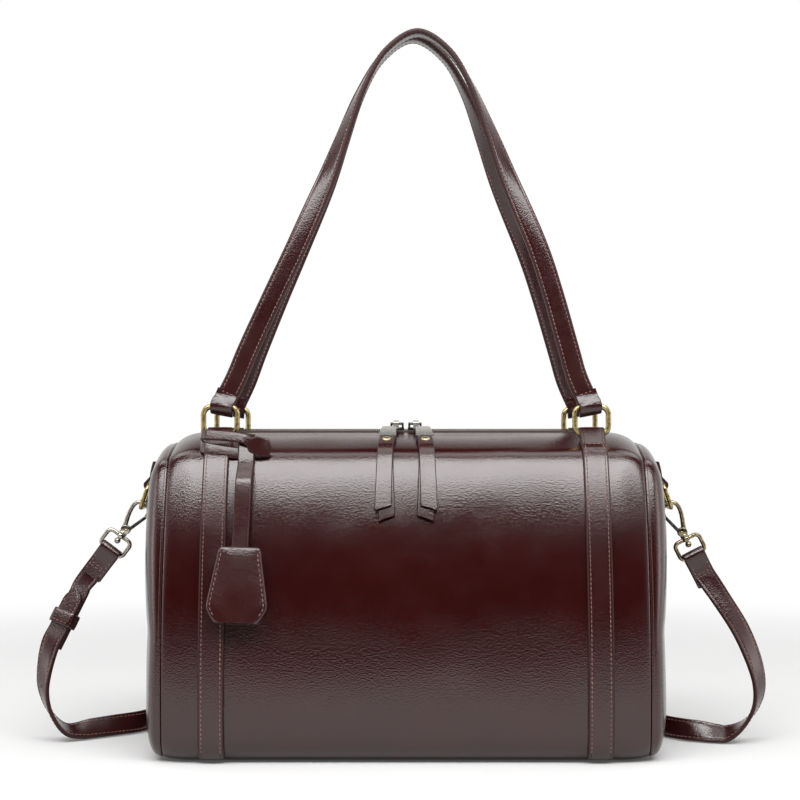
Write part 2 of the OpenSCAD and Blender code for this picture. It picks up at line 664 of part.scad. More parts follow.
// Snap hooks, drawn upright with the middle of the top arc at the origin and the gate towards +X

hook_r = 5.2;
hook_wire_r = 1.25;
hook_play = hook_r - hook_wire_r - clip_wire_r - soft_gap;
ball_drop = 23.7;
ball_r = 2;
pin_drop = 15.2;
pin_x = 0.6;
gate_pin_r = 0.8;
block_r = 3;
block_t = 4.4;
slot_t = 2.9;
knuckle_t = 1.6;
knuckle_r = 1.8;
gate_r = 1;
gate_gap = 0.45;
// How far the wire runs down from the arc to meet the gate
nose_l = 1;
post_r = 1.2;
collar_l = 2.6;
collar_r = 2.6;
collar_drop = ball_drop - ball_r - 2 * pin_gap - collar_l / 2;
flange_l = 1.2;
spring_wire_r = 0.25;
strap_ring_h = 14;
strap_ring_bend_r = 3;
strap_ring_rise = strap_ring_h - 2 * clip_wire_r;
function tilt(side) = side < 0 ? left_tilt : right_tilt;
module at_hook(side) {
  mirrored(side, [1, 0, 0]) translate([-clip[0], 0, clip[1]])
    rotate([0, tilt(side), 0]) translate([0, 0, -hook_play]) children();
}
module rod(a, b, r) {
  d = b - a;
  translate(a) rotate([0, atan2(norm([d[0], d[1]]), d[2]), atan2(d[1], d[0])]) cylinder(r = r, h = norm(d));
}
module hook(side) {
  flange_low = -collar_drop + collar_l / 2 + pin_gap;
  slot_from = pin_x - knuckle_r - gate_gap;
  color(nickel) at_hook(side) difference() {
    union() {
      rotate([90, 0, 0]) rotate_extrude(angle = 180) translate([hook_r, 0]) circle(hook_wire_r);
      translate([hook_r, 0, -nose_l]) cylinder(r = hook_wire_r, h = nose_l + cut / 2);
      translate([-hook_r, 0, 0]) sphere(hook_wire_r);
      rod([-hook_r, 0, 0], [-block_r / 2, 0, -pin_drop + block_r / 2], hook_wire_r);
      translate([0, 0, -pin_drop]) bar_y(block_r, block_t);
      translate([0, 0, flange_low]) cylinder(r = collar_r, h = flange_l);
      translate([0, 0, -ball_drop]) cylinder(r = post_r, h = ball_drop - pin_drop - block_r + cut);
      translate([0, 0, -ball_drop]) sphere(ball_r);
    }
    translate([slot_from, -slot_t / 2, -pin_drop - knuckle_r - gate_gap])
      cube([3 * block_r, slot_t, 3 * block_r]);
    translate([pin_x, 0, -pin_drop]) bar_y(gate_pin_r, block_t + 2 * cut);
  }
}
module left_hook() { hook(-1); }
module right_hook() { hook(1); }

module gate(side) {
  color(gunmetal) at_hook(side) difference() {
    union() {
      translate([pin_x, 0, -pin_drop]) bar_y(knuckle_r, knuckle_t);
      rod([pin_x + knuckle_r / 2, 0, -pin_drop + knuckle_r / 2], [hook_r, 0, -nose_l - gate_gap], gate_r);
    }
    translate([pin_x, 0, -pin_drop]) bar_y(gate_pin_r + pin_gap, block_t);
  }
}
module left_gate() { gate(-1); }
module right_gate() { gate(1); }

module gate_pin(side) {
  color(antique_brass) at_hook(side) translate([pin_x, 0, -pin_drop]) bar_y(gate_pin_r, block_t);
}
module left_gate_pin() { gate_pin(-1); }
module right_gate_pin() { gate_pin(1); }

module gate_spring(side) {
  color("silver") at_hook(side) translate([pin_x, knuckle_t / 2 + 2 * pin_gap + spring_wire_r, -pin_drop])
    rotate([90, 0, 0]) rotate_extrude()
      translate([gate_pin_r + pin_gap + spring_wire_r, 0]) circle(spring_wire_r);
}
module left_gate_spring() { gate_spring(-1); }
module right_gate_spring() { gate_spring(1); }

module strap_ring(side) {
  color(nickel) at_hook(side) translate([0, 0, -collar_drop]) difference() {
    union() {
      translate([0, 0, -strap_ring_rise / 2])
        wire_loop(strap_ring_w, strap_ring_h, clip_wire_r, strap_ring_bend_r);
      cylinder(r = collar_r, h = collar_l, center = true);
    }
    cylinder(r = post_r + pin_gap, h = collar_l + 2 * cut, center = true);
  }
}
module left_strap_ring() { strap_ring(-1); }
module right_strap_ring() { strap_ring(1); }

// Shoulder strap. Its route, drawn for the right side: share of the reach past the seam, share of the half
// depth, share of the ring's height, and the way from its near edge to its far edge
strap_fold_t = 1.6;
strap_fold_r = clip_wire_r + fold_gap + strap_fold_t;
strap_tail_t = 1.8 * strap_t;
strap_tail_l = 20;
strap_steps = 3;
bar_drop = collar_drop + strap_ring_rise + hook_play;
function way(side) = [sin(tilt(side)), 0, -cos(tilt(side))];
function bar_point(side) = [clip[0], 0, clip[1]] + bar_drop * way(side);
function across(side) = [cos(tilt(side)), 0, sin(tilt(side))];
right_shares = [
  [0.66, -0.05, 0.77, [0.84, 0.36, 0.4]], [0.8, -0.1, 0.6, [0.8, 0.46, 0.34]],
  [0.89, -0.15, 0.43, [0.74, 0.6, 0.2]],
  [0.92, -0.18, 0.3, [0.64, 0.76, 0.05]], [0.89, -0.19, 0.19, [0.45, 0.88, 0.05]],
  [0.8, -0.19, 0.1, [0.3, 0.93, 0.2]],
  [0.66, -0.17, 0, [0, 0.8, 0.6]], [0.51, -0.14, 0, [0, 0.55, 0.83]], [0.36, -0.06, 0, [0, 0.35, 0.93]],
  [0.25, 0.1, 0, [0, 0.15, 0.98]], [0.22, 0.4, 0, [0, 0, 1]], [0.2, 0.75, 0, [0, 0, 1]]];
left_shares = [
  [0.765, -0.05, 0.787, [0.84, 0.4, 0.38]], [0.825, -0.085, 0.694, [0.84, 0.4, 0.38]],
  [0.885, -0.12, 0.601, [0.84, 0.4, 0.38]], [0.945, -0.155, 0.508, [0.84, 0.42, 0.35]],
  [0.985, -0.17, 0.37, [0.74, 0.66, 0.1]], [0.985, -0.18, 0.26, [0.55, 0.82, 0.05]],
  [0.93, -0.17, 0.145, [0.3, 0.94, 0.05]], [0.83, -0.1, 0.055, [0.12, 0.93, 0.3]], [0.68, 0, 0, [0, 0.7, 0.7]],
  [0.5, 0.12, 0, [0, 0.5, 0.86]], [0.34, 0.26, 0, [0, 0.3, 0.95]], [0.26, 0.5, 0, [0, 0, 1]],
  [0.21, 0.8, 0, [0, 0, 1]]];
// Behind the bag: share of the half length and share of the distance behind
back_shares = [[1.03, 0.3], [0.8, 0.72], [0.42, 0.95], [0, 1]];
function lying_z(w) = let (c = unit(w)[2]) (strap_w * abs(c) + strap_t * sqrt(1 - pow(c, 2))) / 2;
function side_point(s, side) = [side * (body_l / 2 + s[0] * strap_reach), s[1] * half_d,
  s[2] > 0 ? s[2] * bar_point(side)[2] : lying_z(s[3])];
function back_point(s, side) = [side * s[0] * body_l / 2, half_d + s[1] * strap_back, strap_w / 2];
function sided(w, side) = [side * w[0], w[1], w[2]];
function tail_point(side, l) = let (p = bar_point(side) + l * way(side)) sided(p, side);
last_back = len(back_shares) - 1;
main_points = concat([for (s = left_shares) side_point(s, -1)], [for (s = back_shares) back_point(s, -1)],
  [for (k = [last_back - 1:-1:0]) back_point(back_shares[k], 1)],
  [for (k = [len(right_shares) - 1:-1:0]) side_point(right_shares[k], 1)], [tail_point(1, strap_tail_l / 2)]);
main_ways = concat([for (s = left_shares) sided(s[3], -1)], [for (k = [0:2 * last_back]) [0, 0, 1]],
  [for (k = [len(right_shares) - 1:-1:0]) sided(right_shares[k][3], 1)], [sided(across(1), 1)]);

// Section moved up where it would pass below the floor
function lifted(q) = let (low = min([for (p = q) p[2]])) low < 0 ? [for (p = q) p - [0, 0, low]] : q;
// Edge-to-edge way made square to the route, and the way out of the strap's outer face
function square_way(w, t) = unit(w - (w * t) * t);
function strap_sections(points, ways, half_w, half_t) =
  let (p = curve(points, strap_steps), v = curve(ways, strap_steps))
  [for (k = [0:len(p) - 1]) let (t = tangent(p, k), w = square_way(v[k], t))
    lifted(strap_section(p[k], w, cross(w, t), half_w, half_t))];

// Place of the keeper: the middle of the straight stretch between the second and third point
keeper_c = (main_points[1] + main_points[2]) / 2;
keeper_t = unit(main_points[2] - main_points[1]);
keeper_w = square_way(main_ways[1], keeper_t);
keeper_n = cross(keeper_w, keeper_t);
stack = strap_t + 2 * layer_gap;
keeper_l = 9;
keeper_wall = 1;
keeper_gap = 0.3;
stud_r = 2.4;
stud_head_t = 0.7;
stud_shaft_r = 1.2;
// Frame on the strap's outer face at the keeper, with Z out of that face and Y along the strap
module at_keeper() {
  multmatrix([for (i = [0:2]) [keeper_w[i], keeper_t[i], keeper_n[i], keeper_c[i]]]) children();
}

module folded_end(side) {
  at_hook(side) translate([0, 0, hook_play - bar_drop]) difference() {
    union() {
      bar_x(strap_fold_r, strap_w + layer_gap);
      translate([-strap_w / 2 - layer_gap, -strap_tail_t / 2, -strap_tail_l])
        cube([strap_w + 2 * layer_gap, strap_tail_t, strap_tail_l]);
    }
    bar_x(clip_wire_r + fold_gap, strap_w + 2 * cut);
  }
}
module shoulder_strap() {
  color(leather) {
    difference() {
      skin(strap_sections(main_points, main_ways, strap_w / 2, strap_t / 2));
      at_keeper() cylinder(r = stud_shaft_r + pin_gap, h = 3 * strap_t, center = true);
    }
    folded_end(1);
  }
}

// Short end on the left ring: it runs behind the strap's tip, and the stud holds both
lead_share = 0.5;
module strap_end() {
  behind = -stack * keeper_n;
  lead = main_points[0] - lead_share * (main_points[1] - main_points[0]);
  points = concat([tail_point(-1, strap_tail_l / 2), lead + behind], [for (k = [0:3]) main_points[k] + behind]);
  ways = concat([sided(across(-1), -1)], [for (k = [0:4]) main_ways[1]]);
  color(leather) {
    difference() {
      skin(strap_sections(points, ways, strap_w / 2, strap_t / 2));
      at_keeper() cylinder(r = stud_shaft_r + pin_gap, h = 4 * stack, center = true);
    }
    folded_end(-1);
  }
}

module strap_keeper() {
  inner_w = strap_w + 2 * keeper_gap;
  inner_t = strap_t + stack + 2 * (stud_head_t + soft_gap);
  color(leather) at_keeper() translate([0, 0, -stack / 2]) difference() {
    cube([inner_w + 2 * keeper_wall, keeper_l, inner_t + 2 * keeper_wall], center = true);
    cube([inner_w, keeper_l + 2 * cut, inner_t], center = true);
  }
}
module strap_stud() {
  reach = strap_t / 2 + layer_gap / 2;
  color(antique_brass) at_keeper() {
    translate([0, 0, reach]) cylinder(r = stud_r, h = stud_head_t - layer_gap / 2);
    translate([0, 0, -stack - reach]) cylinder(r = stud_shaft_r, h = stack + 2 * reach);
    translate([0, 0, -stack - reach - stud_head_t + layer_gap / 2])
      cylinder(r = stud_r, h = stud_head_t - layer_gap / 2);
  }
}

// Key strap and bell, on the left front body strap

key_in = 18;
key_x = strap_x - key_in;
key_loop_t = 1.8;
band_d = layer_gap + body_strap_t + soft_gap;
band_out = 12.6;
band_in = 30;
band_from = 13;
band_u = ring_u + band_from;
band_drop = 2;
band_low_z = crease_z - band_drop;
upper_band_h = 9.4;
upper_lean = 32;
upper_from = 2;
module key_loop() {
  up = unit(wedge_top - wedge_foot);
  foot = wedge_foot + 1.5 * soft_gap * [up[1], -up[0]] + upper_from * up;
  top = foot + upper_band_h * [-sin(upper_lean), cos(upper_lean)];
  out = key_loop_t * [cos(upper_lean), sin(upper_lean)];
  lower = concat(slope_part(band_u, crease_u, band_d + key_loop_t), face_part(band_low_z, band_d + key_loop_t));
  under = concat(slope_part(band_u, crease_u, band_d), face_part(band_low_z, band_d));
  color(leather) translate([-strap_x, 0, 0]) {
    translate([(band_in - band_out) / 2, 0, 0]) prism_x(band(lower, under), band_out + band_in);
    prism_x(front([foot, top, top + out, foot + out]), 2 * band_out);
    for (s = [-1, 1]) translate([s * (band_out - key_loop_t / 2), 0, 0])
      prism_x(front([foot, top, top + out, lower[1], under[1], under[0]]), key_loop_t);
  }
}

bell_tilt = 14;
bell_top_at_share = 0.651;
bell_top_z = bell_top_at_share * body_h;
bell_rim = 3;
bell_in = layer_gap + body_strap_t + 2 * soft_gap + (bell_space / 2 + bell_t) / cos(bell_tilt);
bell_u = outline_u(bell_top_z) + bell_in;
key_top_z = band_low_z - soft_gap - key_strap_t;
key_bend_share = 0.83;
key_bend_z = key_bend_share * body_h;
key_ring_r = 7.5;
key_wire_r = 0.8;
key_eye_gap = 0.3;
key_eye_t = 0.8;
key_eye_w = 3;
key_eye_drop = 24;
module at_bell() { translate([-key_x, -bell_u, bell_top_z]) rotate([-bell_tilt, 0, 0]) children(); }
module key_strap() {
  run = (key_bend_z - bell_top_z) / cos(bell_tilt);
  eye_r = key_wire_r + key_eye_gap + key_eye_t;
  wide_drop = key_eye_drop - eye_r;
  line = [[outline_u(key_top_z) + soft_gap + key_strap_t / 2, key_top_z],
    [bell_u - run * sin(bell_tilt), key_bend_z],
    [bell_u + wide_drop * sin(bell_tilt), bell_top_z - wide_drop * cos(bell_tilt)]];
  color(leather) {
    translate([-key_x, 0, 0])
      prism_x(band(offset_line(line, key_strap_t / 2), offset_line(line, -key_strap_t / 2)), key_strap_w);
    at_bell() difference() {
      union() {
        translate([-key_eye_w / 2, -key_strap_t / 2, -key_eye_drop]) cube([key_eye_w, key_strap_t, 2 * eye_r]);
        translate([0, 0, -key_eye_drop]) bar_x(eye_r, key_eye_w);
      }
      translate([0, 0, -key_eye_drop]) bar_x(key_wire_r + key_eye_gap, key_eye_w + 2 * cut);
    }
  }
}
module key_ring() {
  color(antique_brass) at_bell() translate([0, 0, -key_eye_drop - key_ring_r]) rotate([90, 0, 0])
    rotate_extrude() translate([key_ring_r, 0]) circle(key_wire_r, $fn = 16);
}

bell_top_share = 0.69;
bell_low_share = 0.66;
bell_wide_share = 0.79;
function bell_outline(inset, open) = let (w = bell_w / 2 - inset, h = bell_wide_share * bell_h,
    t = bell_top_share * bell_w / 2 - inset, l = bell_low_share * bell_w / 2 - inset)
  [[-t, -inset], [t, -inset], [w, -h], [l, -bell_h - open], [-l, -bell_h - open], [-w, -h]];
module bell_face(back) {
  thick = bell_space / 2 + bell_t;
  slot_w = key_strap_w + 2 * soft_gap;
  slot_t_half = key_strap_t / 2 + soft_gap;
  color(leather) at_bell() mirrored(back, [0, 1, 0]) difference() {
    rotate([90, 0, 0]) linear_extrude(thick) polygon(bell_outline(0, 0));
    translate([0, cut, 0]) rotate([90, 0, 0]) linear_extrude(bell_space / 2 + cut)
      polygon(bell_outline(bell_rim, cut));
    translate([-slot_w / 2, -slot_t_half, -2 * bell_rim]) cube([slot_w, slot_t_half + cut, 3 * bell_rim]);
  }
}
module bell_front() { bell_face(-1); }
module bell_back() { bell_face(1); }

front_panel();
back_panel();
base_panel();
left_end_panel();
right_end_panel();
left_piping();
right_piping();
lining();
left_end_lining();
right_end_lining();
base_board();
inner_pocket();
front_zip_tape();
back_zip_tape();
front_zip_teeth();
back_zip_teeth();
left_zip_slider();
right_zip_slider();
left_pull_cap();
right_pull_cap();
left_pull_tab();
right_pull_tab();
left_pull_rivet();
right_pull_rivet();
front_left_body_strap();
front_right_body_strap();
back_left_body_strap();
back_right_body_strap();
front_left_ring();
front_right_ring();
back_left_ring();
back_right_ring();
front_handle();
back_handle();
left_end_tab();
right_end_tab();
left_end_ring();
right_end_ring();
left_hook();
right_hook();
left_gate();
right_gate();
left_gate_pin();
right_gate_pin();
left_gate_spring();
right_gate_spring();
left_strap_ring();
right_strap_ring();
shoulder_strap();
strap_end();
strap_keeper();
strap_stud();
key_loop();
key_strap();
key_ring();
bell_front();
bell_back();
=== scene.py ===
import math

import bmesh
import bpy
import numpy as np
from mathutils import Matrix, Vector, noise


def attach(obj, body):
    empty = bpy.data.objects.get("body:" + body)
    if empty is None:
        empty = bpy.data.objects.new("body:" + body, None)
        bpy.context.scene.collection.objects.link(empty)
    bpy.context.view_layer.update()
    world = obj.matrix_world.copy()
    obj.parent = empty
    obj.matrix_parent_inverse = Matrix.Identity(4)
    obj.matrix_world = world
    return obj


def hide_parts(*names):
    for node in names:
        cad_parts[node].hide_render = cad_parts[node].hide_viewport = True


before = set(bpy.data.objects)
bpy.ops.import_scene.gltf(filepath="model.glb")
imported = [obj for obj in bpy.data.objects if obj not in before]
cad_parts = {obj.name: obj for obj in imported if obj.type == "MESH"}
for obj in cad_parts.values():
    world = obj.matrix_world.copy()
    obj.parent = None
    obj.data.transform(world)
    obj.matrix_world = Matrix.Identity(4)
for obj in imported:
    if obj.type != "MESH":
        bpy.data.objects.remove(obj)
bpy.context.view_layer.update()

# Sizes in millimetres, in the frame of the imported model
MM = 0.001
BODY_L, BODY_H, BODY_D = 283, 192, 164
HALF_D = BODY_D / 2
SHELL_T, CORNER_R, ROUND_L, END_BULGE, PIPING_R = 1.8, 15, 17, 12.5, 1.4
STRAP_X, BODY_STRAP_W, BODY_STRAP_T = 112.5, 15, 2.4
RING_W, RING_H, RING_WIRE_R, RING_U, RING_BEND_R = 23.7, 20, 1.7, 33, 4.8
HANDLE_TOP, HANDLE_W, HANDLE_T, HANDLE_GAP = 442, 12.8, 3.3, 2.4
ZIP_GAP, ZIP_L, TOOTH_PITCH = 11, 248, 2.4
LAYER_GAP, FOLD_GAP, SOFT_GAP = 0.15, 0.65, 0.4
X, Y, Z = range(3)
WORDS = {-1: "left", 1: "right"}


# Materials

def new_material(name):
    m = bpy.data.materials.new(name)
    m.use_nodes = True
    return m, m.node_tree, m.node_tree.nodes["Principled BSDF"]


def node(tree, kind, **values):
    """New node with each value set on the node, or else on its input of that name."""
    n = tree.nodes.new(kind)
    for key, value in values.items():
        if hasattr(n, key):
            setattr(n, key, value)
        else:
            n.inputs[key.replace("_", " ").title()].default_value = value
    return n


def texture(tree, kind, **values):
    """Texture node in the piece's own coordinates."""
    n = node(tree, kind, **values)
    tree.links.new(node(tree, "ShaderNodeTexCoord").outputs["Object"], n.inputs["Vector"])
    return n


def object_noise(tree, scale, detail=4.0, rough=0.55):
    return texture(tree, "ShaderNodeTexNoise", scale=scale, detail=detail, roughness=rough).outputs["Fac"]


def paint(tree, shader, key, value, places, colours):
    """Links one socket of the shader to a ramp of colours, or of plain values, over a texture."""
    n = node(tree, "ShaderNodeValToRGB")
    tree.links.new(value, n.inputs["Fac"])
    elements = n.color_ramp.elements
    while len(elements) < len(places):
        elements.new(0.5)
    for e, at, colour in zip(elements, places, colours):
        e.position = at
        e.color = (*np.broadcast_to(colour, 3), 1)
    tree.links.new(n.outputs["Color"], shader.inputs[key])


def math_node(tree, operation, a, b):
    n = node(tree, "ShaderNodeMath", operation=operation)
    for socket, value in zip(n.inputs, (a, b)):
        if isinstance(value, (int, float)):
            socket.default_value = value
        else:
            tree.links.new(value, socket)
    return n.outputs[0]


def bumps(tree, shader, *layers):
    """Stacks bump layers of (height, strength, distance in metres)."""
    last = None
    for height, strength, distance in layers:
        b = node(tree, "ShaderNodeBump", strength=strength, distance=distance)
        tree.links.new(height, b.inputs["Height"])
        if last:
            tree.links.new(last, b.inputs["Normal"])
        last = b.outputs["Normal"]
    tree.links.new(last, shader.inputs["Normal"])


def leather(name, colours, rough, grain, level=0.72):
    """Glazed leather with a pebbled grain, a fine grain over it and slow changes of tone and shine."""
    m, tree, shader = new_material(name)
    paint(tree, shader, "Base Color", object_noise(tree, 18, 6, 0.6), (0.25, 0.5, 0.78), colours)
    paint(tree, shader, "Roughness", object_noise(tree, 55, 3, 0.5), (0.3, 0.7), rough)
    pebble = texture(tree, "ShaderNodeTexVoronoi", scale=1000).outputs["Distance"]
    bumps(tree, shader, (object_noise(tree, 45, 1, 0.3), 0.02, 0.001),
          (math_node(tree, "POWER", pebble, 0.8), grain, 0.00021),
          (object_noise(tree, 1900, 2), 0.25, 0.00008))
    shader.inputs["Specular IOR Level"].default_value = level
    return m


def metal(name, colours, rough=(0.16, 0.32), wear=0.08):
    m, tree, shader = new_material(name)
    paint(tree, shader, "Base Color", object_noise(tree, 420, 4, 0.6), (0.34, 0.62), colours)
    paint(tree, shader, "Roughness", object_noise(tree, 420), (0.3, 0.75), rough)
    shader.inputs["Metallic"].default_value = 1
    bumps(tree, shader, (object_noise(tree, 900), wear, 0.0001))
    return m


def cloth(name, colours, threads_per_m=1500, rough=0.85, depth=0.5):
    """Plain weave of two crossing sets of threads."""
    m, tree, shader = new_material(name)
    warp, weft = (texture(tree, "ShaderNodeTexWave", scale=threads_per_m / 6.283, distortion=0.6,
                          bands_direction=way).outputs["Fac"] for way in "XY")
    weave = math_node(tree, "MULTIPLY", warp, weft)
    paint(tree, shader, "Base Color", weave, (0.1, 0.7), colours)
    shader.inputs["Roughness"].default_value = rough
    shader.inputs["Sheen Weight"].default_value = 0.2
    bumps(tree, shader, (weave, depth, 0.0002), (object_noise(tree, 300), 0.2, 0.0003))
    return m


def thread(name, colours):
    m, tree, shader = new_material(name)
    paint(tree, shader, "Base Color", object_noise(tree, 90, 3), (0.3, 0.7), colours)
    shader.inputs["Roughness"].default_value = 0.7
    shader.inputs["Sheen Weight"].default_value = 0.15
    bumps(tree, shader, (object_noise(tree, 3500, 3), 0.4, 0.0001))
    return m


OXBLOOD = leather("oxblood_leather", ((0.018, 0.0012, 0.0011), (0.022, 0.0016, 0.0014),
                                      (0.026, 0.0023, 0.002)), (0.16, 0.21), 0.35)
STRAP_LEATHER = leather("strap_leather", ((0.018, 0.0016, 0.0014), (0.023, 0.0023, 0.002),
                                          (0.029, 0.0038, 0.0034)), (0.19, 0.26), 0.4)
EDGE_PAINT = leather("edge_paint", ((0.016, 0.0022, 0.002), (0.024, 0.0036, 0.003), (0.034, 0.0055, 0.005)),
                     (0.42, 0.52), 0.08, 0.35)
# Painted shade: near-black leather that stands in for the dark inside of the punched strap hole.
HOLE_SHADE = leather("hole_painted_shade", ((0.004, 0.002, 0.002), (0.006, 0.003, 0.003), (0.01, 0.005, 0.005)),
                    (0.5, 0.6), 0.05)
LINING = cloth("lining_cloth", ((0.12, 0.095, 0.075), (0.25, 0.21, 0.17)))
BOARD = cloth("board", (0.02, 0.05), 900, 0.9, 0.2)
TAPE = cloth("zip_tape", ((0.012, 0.005, 0.005), (0.04, 0.017, 0.015)), 1800)
THREAD = thread("seam_thread", ((0.11, 0.045, 0.038), (0.25, 0.125, 0.1)))
ZIP_BRASS = metal("zip_brass", ((0.1, 0.06, 0.035), (0.36, 0.24, 0.11)), (0.25, 0.42))
RIVET_BRASS = metal("rivet_brass", ((0.42, 0.33, 0.17), (0.72, 0.62, 0.4)), (0.16, 0.26))
BRASS = metal("antique_brass", ((0.24, 0.18, 0.075), (0.5, 0.41, 0.2)), (0.24, 0.38))
AGED = metal("aged_brass", ((0.1, 0.08, 0.05), (0.4, 0.33, 0.21)), (0.18, 0.3))
NICKEL = metal("nickel", ((0.26, 0.235, 0.2), (0.46, 0.43, 0.38)), (0.2, 0.3), 0.04)
GUNMETAL = metal("gunmetal", ((0.03, 0.028, 0.027), (0.1, 0.095, 0.09)), (0.2, 0.34))
STEEL = metal("spring_steel", (0.35, 0.62))
SLOTS = {OXBLOOD: "leather", STRAP_LEATHER: "leather", EDGE_PAINT: "leather", LINING: "lining_cloth",
         TAPE: "zip_tape", ZIP_BRASS: "zip_brass", RIVET_BRASS: "antique_brass", BRASS: "antique_brass",
         AGED: "nickel", NICKEL: "nickel", GUNMETAL: "gunmetal", STEEL: "spring_steel"}


# Mesh building

def make(name, points, faces, material, sharp_deg=50):
    mesh = bpy.data.meshes.new(name)
    mesh.from_pydata((np.asarray(points, float) * MM).tolist(), [], faces)
    mesh.materials.append(material)
    shell = bmesh.new()
    shell.from_mesh(mesh)
    bmesh.ops.recalc_face_normals(shell, faces=shell.faces)
    shell.to_mesh(mesh)
    shell.free()
    mesh.polygons.foreach_set("use_smooth", [True] * len(mesh.polygons))
    mesh.set_sharp_from_angle(angle=math.radians(sharp_deg))
    mesh.update()
    piece = bpy.data.objects.new(name, mesh)
    bpy.context.scene.collection.objects.link(piece)
    return piece


def place(piece, body, *nodes, slot=None):
    """Puts a piece on its body, in place of its CAD nodes; the slot that its material belongs to is looked up
    but not given to the piece.
    """
    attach(piece, body)
    if nodes:
        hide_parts(*nodes)
    slot = slot or SLOTS.get(piece.data.materials[0])
    return piece


def slab(name, outer, inner, material):
    """Closed solid between two grids of points of the same size."""
    outer, inner = np.asarray(outer, float), np.asarray(inner, float)
    n, m = outer.shape[:2]
    o = n * m
    faces = []
    for i in range(n - 1):
        for a in range(i * m, i * m + m - 1):
            faces += [(a, a + m, a + m + 1, a + 1), (o + a, o + a + 1, o + a + m + 1, o + a + m)]
        a, b = i * m, i * m + m - 1
        faces += [(a, o + a, o + a + m, a + m), (b, b + m, o + b + m, o + b)]
    for j in range(m - 1):
        a = (n - 1) * m + j
        faces += [(j, j + 1, o + j + 1, o + j), (a, o + a, o + a + 1, a + 1)]
    return make(name, np.concatenate([outer.reshape(-1, 3), inner.reshape(-1, 3)]), faces, material)


def skin_faces(n, m, ring=False, start=0):
    """Faces of a tube of n sections with m points each, closed at both ends or into a ring."""
    faces = []
    for i in range(n if ring else n - 1):
        a, b = start + i * m, start + (i + 1) % n * m
        faces += [(a + j, a + (j + 1) % m, b + (j + 1) % m, b + j) for j in range(m)]
    if not ring:
        faces.append(tuple(start + j for j in reversed(range(m))))
        faces.append(tuple(start + (n - 1) * m + j for j in range(m)))
    return faces


def merged(name, parts, material, move=None, sharp_deg=45):
    """One mesh of several skins. Each part is (sections, whether it closes into a ring)."""
    points, faces = [], []
    for sections, ring in parts:
        sections = np.asarray(sections, float)
        faces += skin_faces(*sections.shape[:2], ring, len(points))
        points += sections.reshape(-1, 3).tolist()
    return make(name, move(points) if move else points, faces, material, sharp_deg)


def skin(name, sections, material, ring=False):
    return merged(name, [(sections, ring)], material, sharp_deg=50)


def unit(v):
    v = np.asarray(v, float)
    return v / np.maximum(np.linalg.norm(v, axis=-1, keepdims=True), 1e-12)


def tangents(points, ring=False):
    p = np.asarray(points, float)
    if ring:
        return unit(np.roll(p, -1, 0) - np.roll(p, 1, 0))
    return unit(np.concatenate([p[1:2] - p[:1], p[2:] - p[:-2], p[-1:] - p[-2:-1]]))


def normals_2d(line):
    t = tangents(line)
    return np.stack([-t[:, 1], t[:, 0]], 1)


def curve(points, steps):
    """Smooth curve through given points."""
    p = np.asarray(points, float)
    out = []
    for k in range(len(p) - 1):
        a, b, c, d = p[max(k - 1, 0)], p[k], p[k + 1], p[min(k + 2, len(p) - 1)]
        for t in np.arange(steps) / steps:
            out.append((2 * b + (c - a) * t + (2 * a - 5 * b + 4 * c - d) * t ** 2
                        + (3 * b - a - 3 * c + d) * t ** 3) / 2)
    return np.array(out + [p[-1]])


def lengths(points):
    return np.concatenate([[0], np.cumsum(np.linalg.norm(np.diff(points, axis=0), axis=1))])


def values_at(places, s, values):
    """Values of a line, such as its points, at other lengths along it."""
    v = np.asarray(values, float)
    if v.ndim == 1:
        return np.interp(places, s, v)
    return np.stack([np.interp(places, s, column) for column in v.T], -1)


def resample(points, spacing, *others):
    """Points, and the values that go with them, at an even spacing along the line."""
    at = lengths(points)
    s = np.linspace(0, at[-1], max(2, int(round(at[-1] / spacing)) + 1))
    result = [values_at(s, at, values) for values in (points, *others)]
    return result if others else result[0]


def arc(r, start, end, steps, centre=(0, 0)):
    """Points on a circle in a plane, between two angles in degrees."""
    a = np.radians(np.linspace(start, end, steps))
    return np.stack([np.cos(a), np.sin(a)], 1) * r + centre


def circle(r, sides):
    return arc(r, 0, 360, sides + 1)[:-1]


def corners(x, z, r, steps):
    """Points of a rounded rectangle, from the middles of its corners."""
    return np.concatenate([arc(r, start, start + 90, steps, (sx * x, sz * z))
                           for sx, sz, start in ((1, 1, 0), (-1, 1, 90), (-1, -1, 180), (1, -1, 270))])


def closed_line(points, spacing):
    """Even points round a line that closes on itself."""
    return resample(np.concatenate([points, points[:1]]), spacing)[:-1]


def turned(points, a, b, deg, centre=(0, 0, 0)):
    """Points turned about a centre, from axis a towards axis b."""
    c, s = math.cos(math.radians(deg)), math.sin(math.radians(deg))
    p = np.asarray(points, float) - centre
    q = p.copy()
    q[:, a] = p[:, a] * c - p[:, b] * s
    q[:, b] = p[:, a] * s + p[:, b] * c
    return q + centre


def wire(name, path, radius, material, sides=16, up=(0, 1, 0)):
    """Round wire that closes into a ring."""
    p = np.asarray(path, float)
    t = tangents(p, True)
    side = unit(np.cross(t, np.asarray(up, float)))
    out = np.cross(side, t)
    rings = [[p[k] + c * side[k] + s * out[k] for c, s in circle(radius, sides)] for k in range(len(p))]
    return skin(name, rings, material, True)


def rounded_loop(w, h, wire_r, bend_r):
    """Middle line of a rounded rectangle of wire in the XZ plane."""
    flat = corners(w / 2 - wire_r - bend_r, h / 2 - wire_r - bend_r, bend_r, 9)
    return closed_line(np.stack([flat[:, 0], 0 * flat[:, 0], flat[:, 1]], 1), 0.8)


def lathe(profile, centre=(0, 0, 0), axis=Z, sides=28):
    """Round solid from (radius, height) pairs about an axis through a point."""
    rings = []
    for r, h in profile:
        ring = np.array([(c, s, h) for c, s in circle(r, sides)])
        rings.append((ring[:, [1, 2, 0]] if axis == Y else ring) + centre)
    return np.array(rings), False


def ball(r, steps=9):
    return [(max(0.03, r * math.cos(a)), r * math.sin(a)) for a in np.linspace(-1.55, 1.55, steps)]


